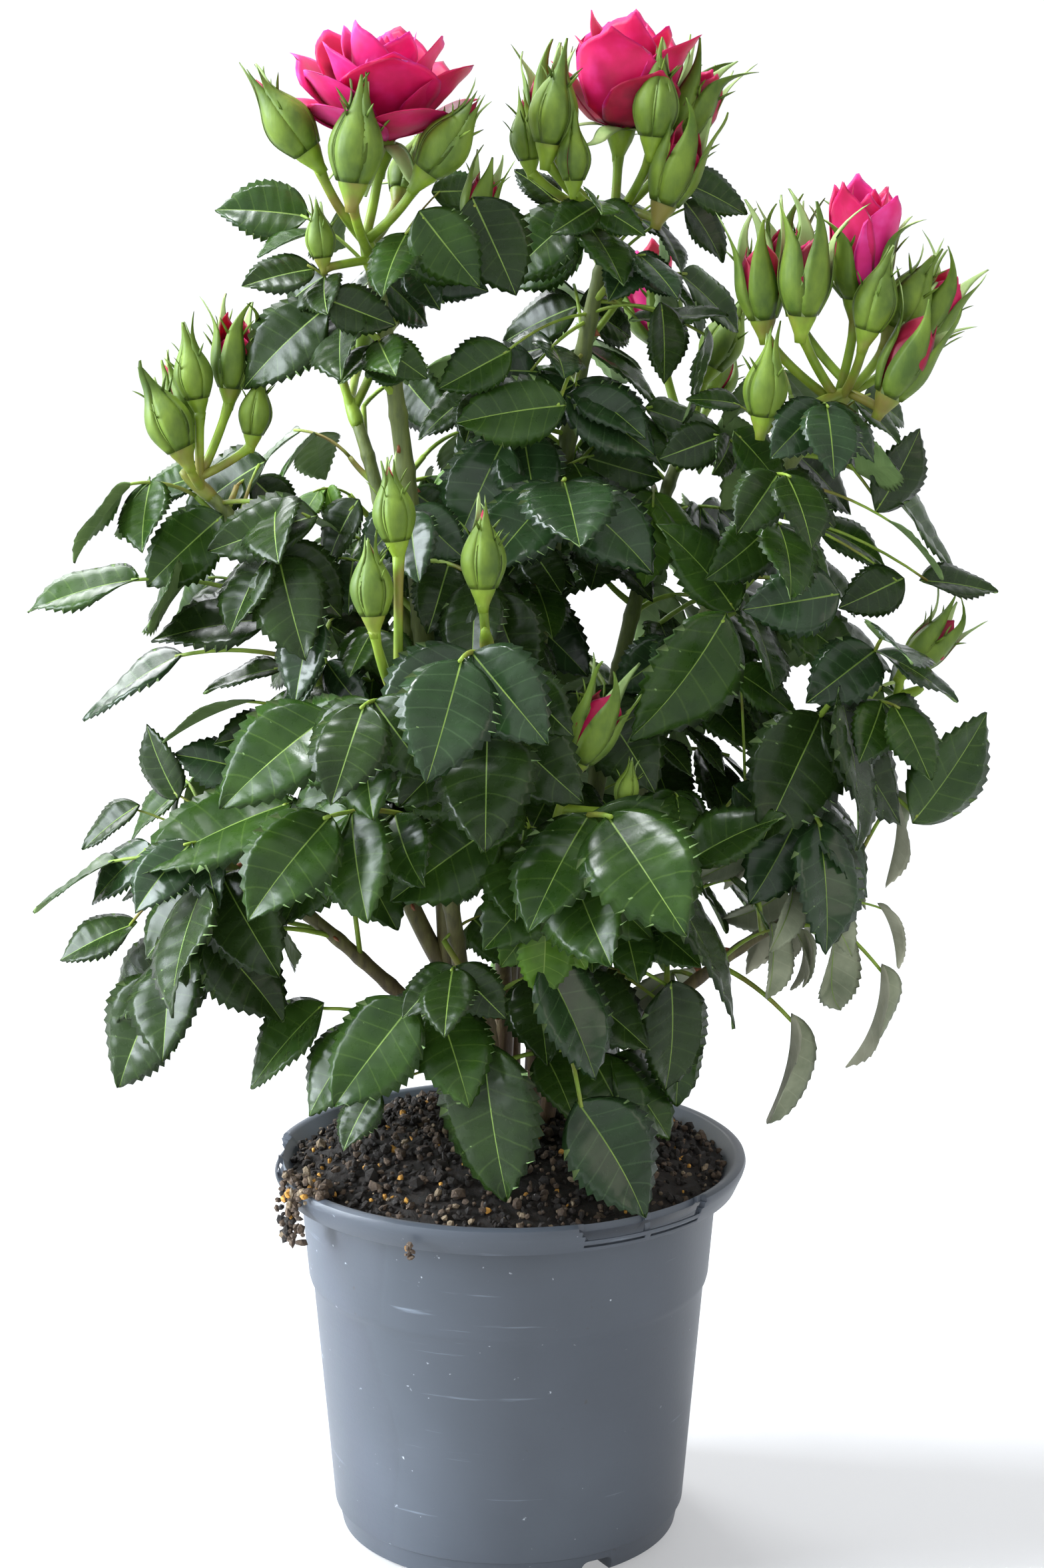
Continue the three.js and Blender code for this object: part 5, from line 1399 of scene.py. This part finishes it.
head_finishes = [
    fleshy("Sepal", colour(60, 84, 20), colour(104, 128, 36), 0.5),
    fleshy("Sepal lining", colour(124, 150, 86), colour(166, 186, 122), 0.6),
    fleshy("Hip and flower stalk", colour(90, 116, 26), colour(132, 158, 44), 0.42, colour(118, 98, 50)),
]
petal_finishes = [
    petal_skin("Cerise petal", colour(158, 4, 58), colour(186, 8, 80), colour(204, 34, 112)),
    # Magenta is partly the paler colour of inner petals and partly painted highlight, dealt to petals at
    # random.
    petal_skin("Magenta petal with painted highlight", colour(178, 10, 84), colour(200, 28, 114), colour(214, 72, 150)),
    # Crimson is partly the darker colour of outer petals and partly painted shade on petals that lie in
    # shadow.
    petal_skin("Crimson petal with painted shade", colour(100, 0, 28), colour(146, 3, 48), colour(174, 10, 70)),
]
CERISE, CRIMSON_PAINTED_SHADE = 0, 2

for number, bough in enumerate(BOUGHS):
    if bough["name"] not in TRUSSES:
        continue
    heads = TRUSSES[bough["name"]]
    curve = curves[bough["name"]]
    upward = tangent(curve, 1)
    tip = np.array(bough["tip"], dtype=float)
    greens, pinks = Growth(), Growth()
    luck = np.random.default_rng(500 + number)
    knob = [tip + upward * rise for rise in np.linspace(-1, KNOB + 1, 9)]
    greens.add(*tube(knob, bough["thick"][1] * np.array(KNOB_TAPER), 10), HIP_GREEN)
    for i, (right, back, up, lean, kind, size) in enumerate(heads):
        start = tip + upward * (2 + (KNOB - 2) * i / len(heads))
        neck = tip + (right, back, up)
        way = lean_way(lean)
        middle = (start + neck) / 2 + (right * 0.14, back * 0.14, -up * 0.05)
        path = [bezier([start, middle, neck], share) for share in np.linspace(0, 1, 12)]
        thick = np.interp(np.linspace(0, 1, 12), *STALK_TAPER) * (0.72 + 0.28 * size)
        greens.add(*tube(path, thick, 9), HIP_GREEN)
        turn = frame_of(way)
        corners, faces = lathe(HIP, 14)
        greens.add(corners * size @ turn.T + neck, faces, HIP_GREEN)
        first = 360 * chance(number, i, 7)
        for k in range(5):
            add_sepal(greens, first + 72 * k + luck.normal() * 5, SEPALS[kind], size, luck, neck, turn)
        for level, ring in enumerate(PETALS.get(kind, ())):
            for k in range(ring[0]):
                azimuth = first + 47 * level + 360 / ring[0] * k + luck.normal() * 7
                # Split buds show crimson petals. Other petals are dealt cerise, magenta or crimson at random:
                # magenta paints in highlight and crimson paints in shade.
                tone = CRIMSON_PAINTED_SHADE if kind == "split" else int(luck.choice(3, p=(0.6, 0.34, 0.06)))
                # The cup's outermost ring is crimson, partly its own darker colour and partly painted shade.
                if kind == "cup" and level == 3:
                    tone = CRIMSON_PAINTED_SHADE
                if kind == "split" and k == 0:
                    tone = CERISE
                add_petal(pinks, azimuth, ring, size, luck, neck, turn, tone)
        if kind == "bud":
            # The petals that show in a closed bud are crimson, partly painted shade inside the sepals.
            corners, faces = lathe(BUD_BODY, 16)
            pinks.add(corners * size @ turn.T + neck, faces, CRIMSON_PAINTED_SHADE)
    green_heads = greens.piece(f"buds_{bough['name']}", head_finishes)
    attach(green_heads, "root")
    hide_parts(f"truss_{bough['name']}")
    petals = pinks.piece(f"petals_{bough['name']}", petal_finishes)
    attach(petals, "root")
    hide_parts(f"truss_{bough['name']}")

# ---- Studio ----
# A pale sweep of floor that curves up behind and glows a little, soft lights mostly from the left
# and above, one that only washes the sweep, and the camera.
FLOOR_WIDE = 8
FLOOR_DEEP = 3.6
SWEEP_STEPS = 12
SWEEP_RADIUS = 0.9
WALL_HIGH = 3
bpy.ops.mesh.primitive_plane_add(size=1, location=(0, 0, 0))
floor = bpy.context.object
floor.name = "studio_floor"
bpy.ops.object.mode_set(mode="EDIT")
bpy.ops.mesh.select_all(action="SELECT")
bpy.ops.transform.resize(value=(FLOOR_WIDE, FLOOR_DEEP, 1), center_override=(0, 0, 0))
bpy.ops.object.mode_set(mode="OBJECT")
for edge in floor.data.edges:
    edge.select = all(floor.data.vertices[i].co.y > 0.1 for i in edge.vertices)
for vertex in floor.data.vertices:
    vertex.select = vertex.co.y > 0.1
bpy.ops.object.mode_set(mode="EDIT")
bpy.ops.mesh.select_mode(type="EDGE")
for step in range(SWEEP_STEPS):
    angle = (step + 0.5) * math.pi / 2 / SWEEP_STEPS
    run = SWEEP_RADIUS * math.pi / 2 / SWEEP_STEPS
    way = (0, run * math.cos(angle), run * math.sin(angle))
    bpy.ops.mesh.extrude_region_move(TRANSFORM_OT_translate={"value": way})
bpy.ops.mesh.extrude_region_move(TRANSFORM_OT_translate={"value": (0, 0, WALL_HIGH)})
bpy.ops.mesh.select_mode(type="VERT")
bpy.ops.object.mode_set(mode="OBJECT")
bpy.ops.object.shade_smooth()
paper, nodes, links, shader = new_finish("Studio paper", roughness=0.9, emission_strength=0.38)
shader.inputs["Emission Color"].default_value = colour(252, 253, 255)
pulp = tinted(nodes, links, grain(nodes, links, 3, 2), [(0.3, colour(168, 168, 169)),
                                                        (0.7, colour(172, 172, 172))])
links.new(pulp, shader.inputs["Base Color"])
floor.data.materials.clear()
floor.data.materials.append(paper)

world = bpy.context.scene.world or bpy.data.worlds.new("Studio")
bpy.context.scene.world = world
world.use_nodes = True
sky = world.node_tree.nodes["Background"]
sky.inputs["Color"].default_value = (1, 1, 1, 1)
sky.inputs["Strength"].default_value = 0.15


def soft_light(name, place, target, width, height, power, tint, beam=180):
    """A soft box that faces a target, with its beam's width in degrees."""
    lamp = bpy.data.lights.new(name, "AREA")
    lamp.shape = "RECTANGLE"
    lamp.size = width
    lamp.size_y = height
    lamp.energy = power
    lamp.color = tint
    lamp.spread = math.radians(beam)
    box = bpy.data.objects.new(name, lamp)
    box.location = place
    box.rotation_euler = (Vector(target) - Vector(place)).to_track_quat("-Z", "Y").to_euler()
    bpy.context.scene.collection.objects.link(box)


MIDDLE = (0, 0, 0.22)
soft_light("window_left", (-1.35, -0.04, 0.8), MIDDLE, 0.9, 1.1, 72, (0.86, 0.93, 1))
soft_light("window_low", (-1.35, -0.1, 0.12), (0, 0, 0.04), 0.5, 0.12, 0.4, (0.86, 0.93, 1), 14)
soft_light("window_top", (-0.45, 0.1, 1.6), MIDDLE, 0.3, 0.3, 28, (0.93, 0.97, 1))
soft_light("fill_right", (1.3, -0.7, 0.7), MIDDLE, 0.9, 0.9, 4, (1, 0.88, 0.76))
soft_light("back_left", (-0.7, 1.2, 1.0), MIDDLE, 0.7, 0.9, 12, (0.95, 0.98, 1))
soft_light("sweep_wash", (0, 1.0, 1.5), (0, 2.7, 1.1), 2.4, 0.8, 22, (1, 1, 1))
bpy.context.scene.view_settings.view_transform = "Standard"

LOOK_DOWN = 11.65
lens = bpy.data.cameras.new("view")
lens.lens = 70.29
lens.sensor_width = 36
camera = bpy.data.objects.new("view", lens)
camera.location = [along * MM for along in EYE]
camera.rotation_euler = (math.radians(90 - LOOK_DOWN), 0, 0)
bpy.context.scene.collection.objects.link(camera)
bpy.context.scene.camera = camera
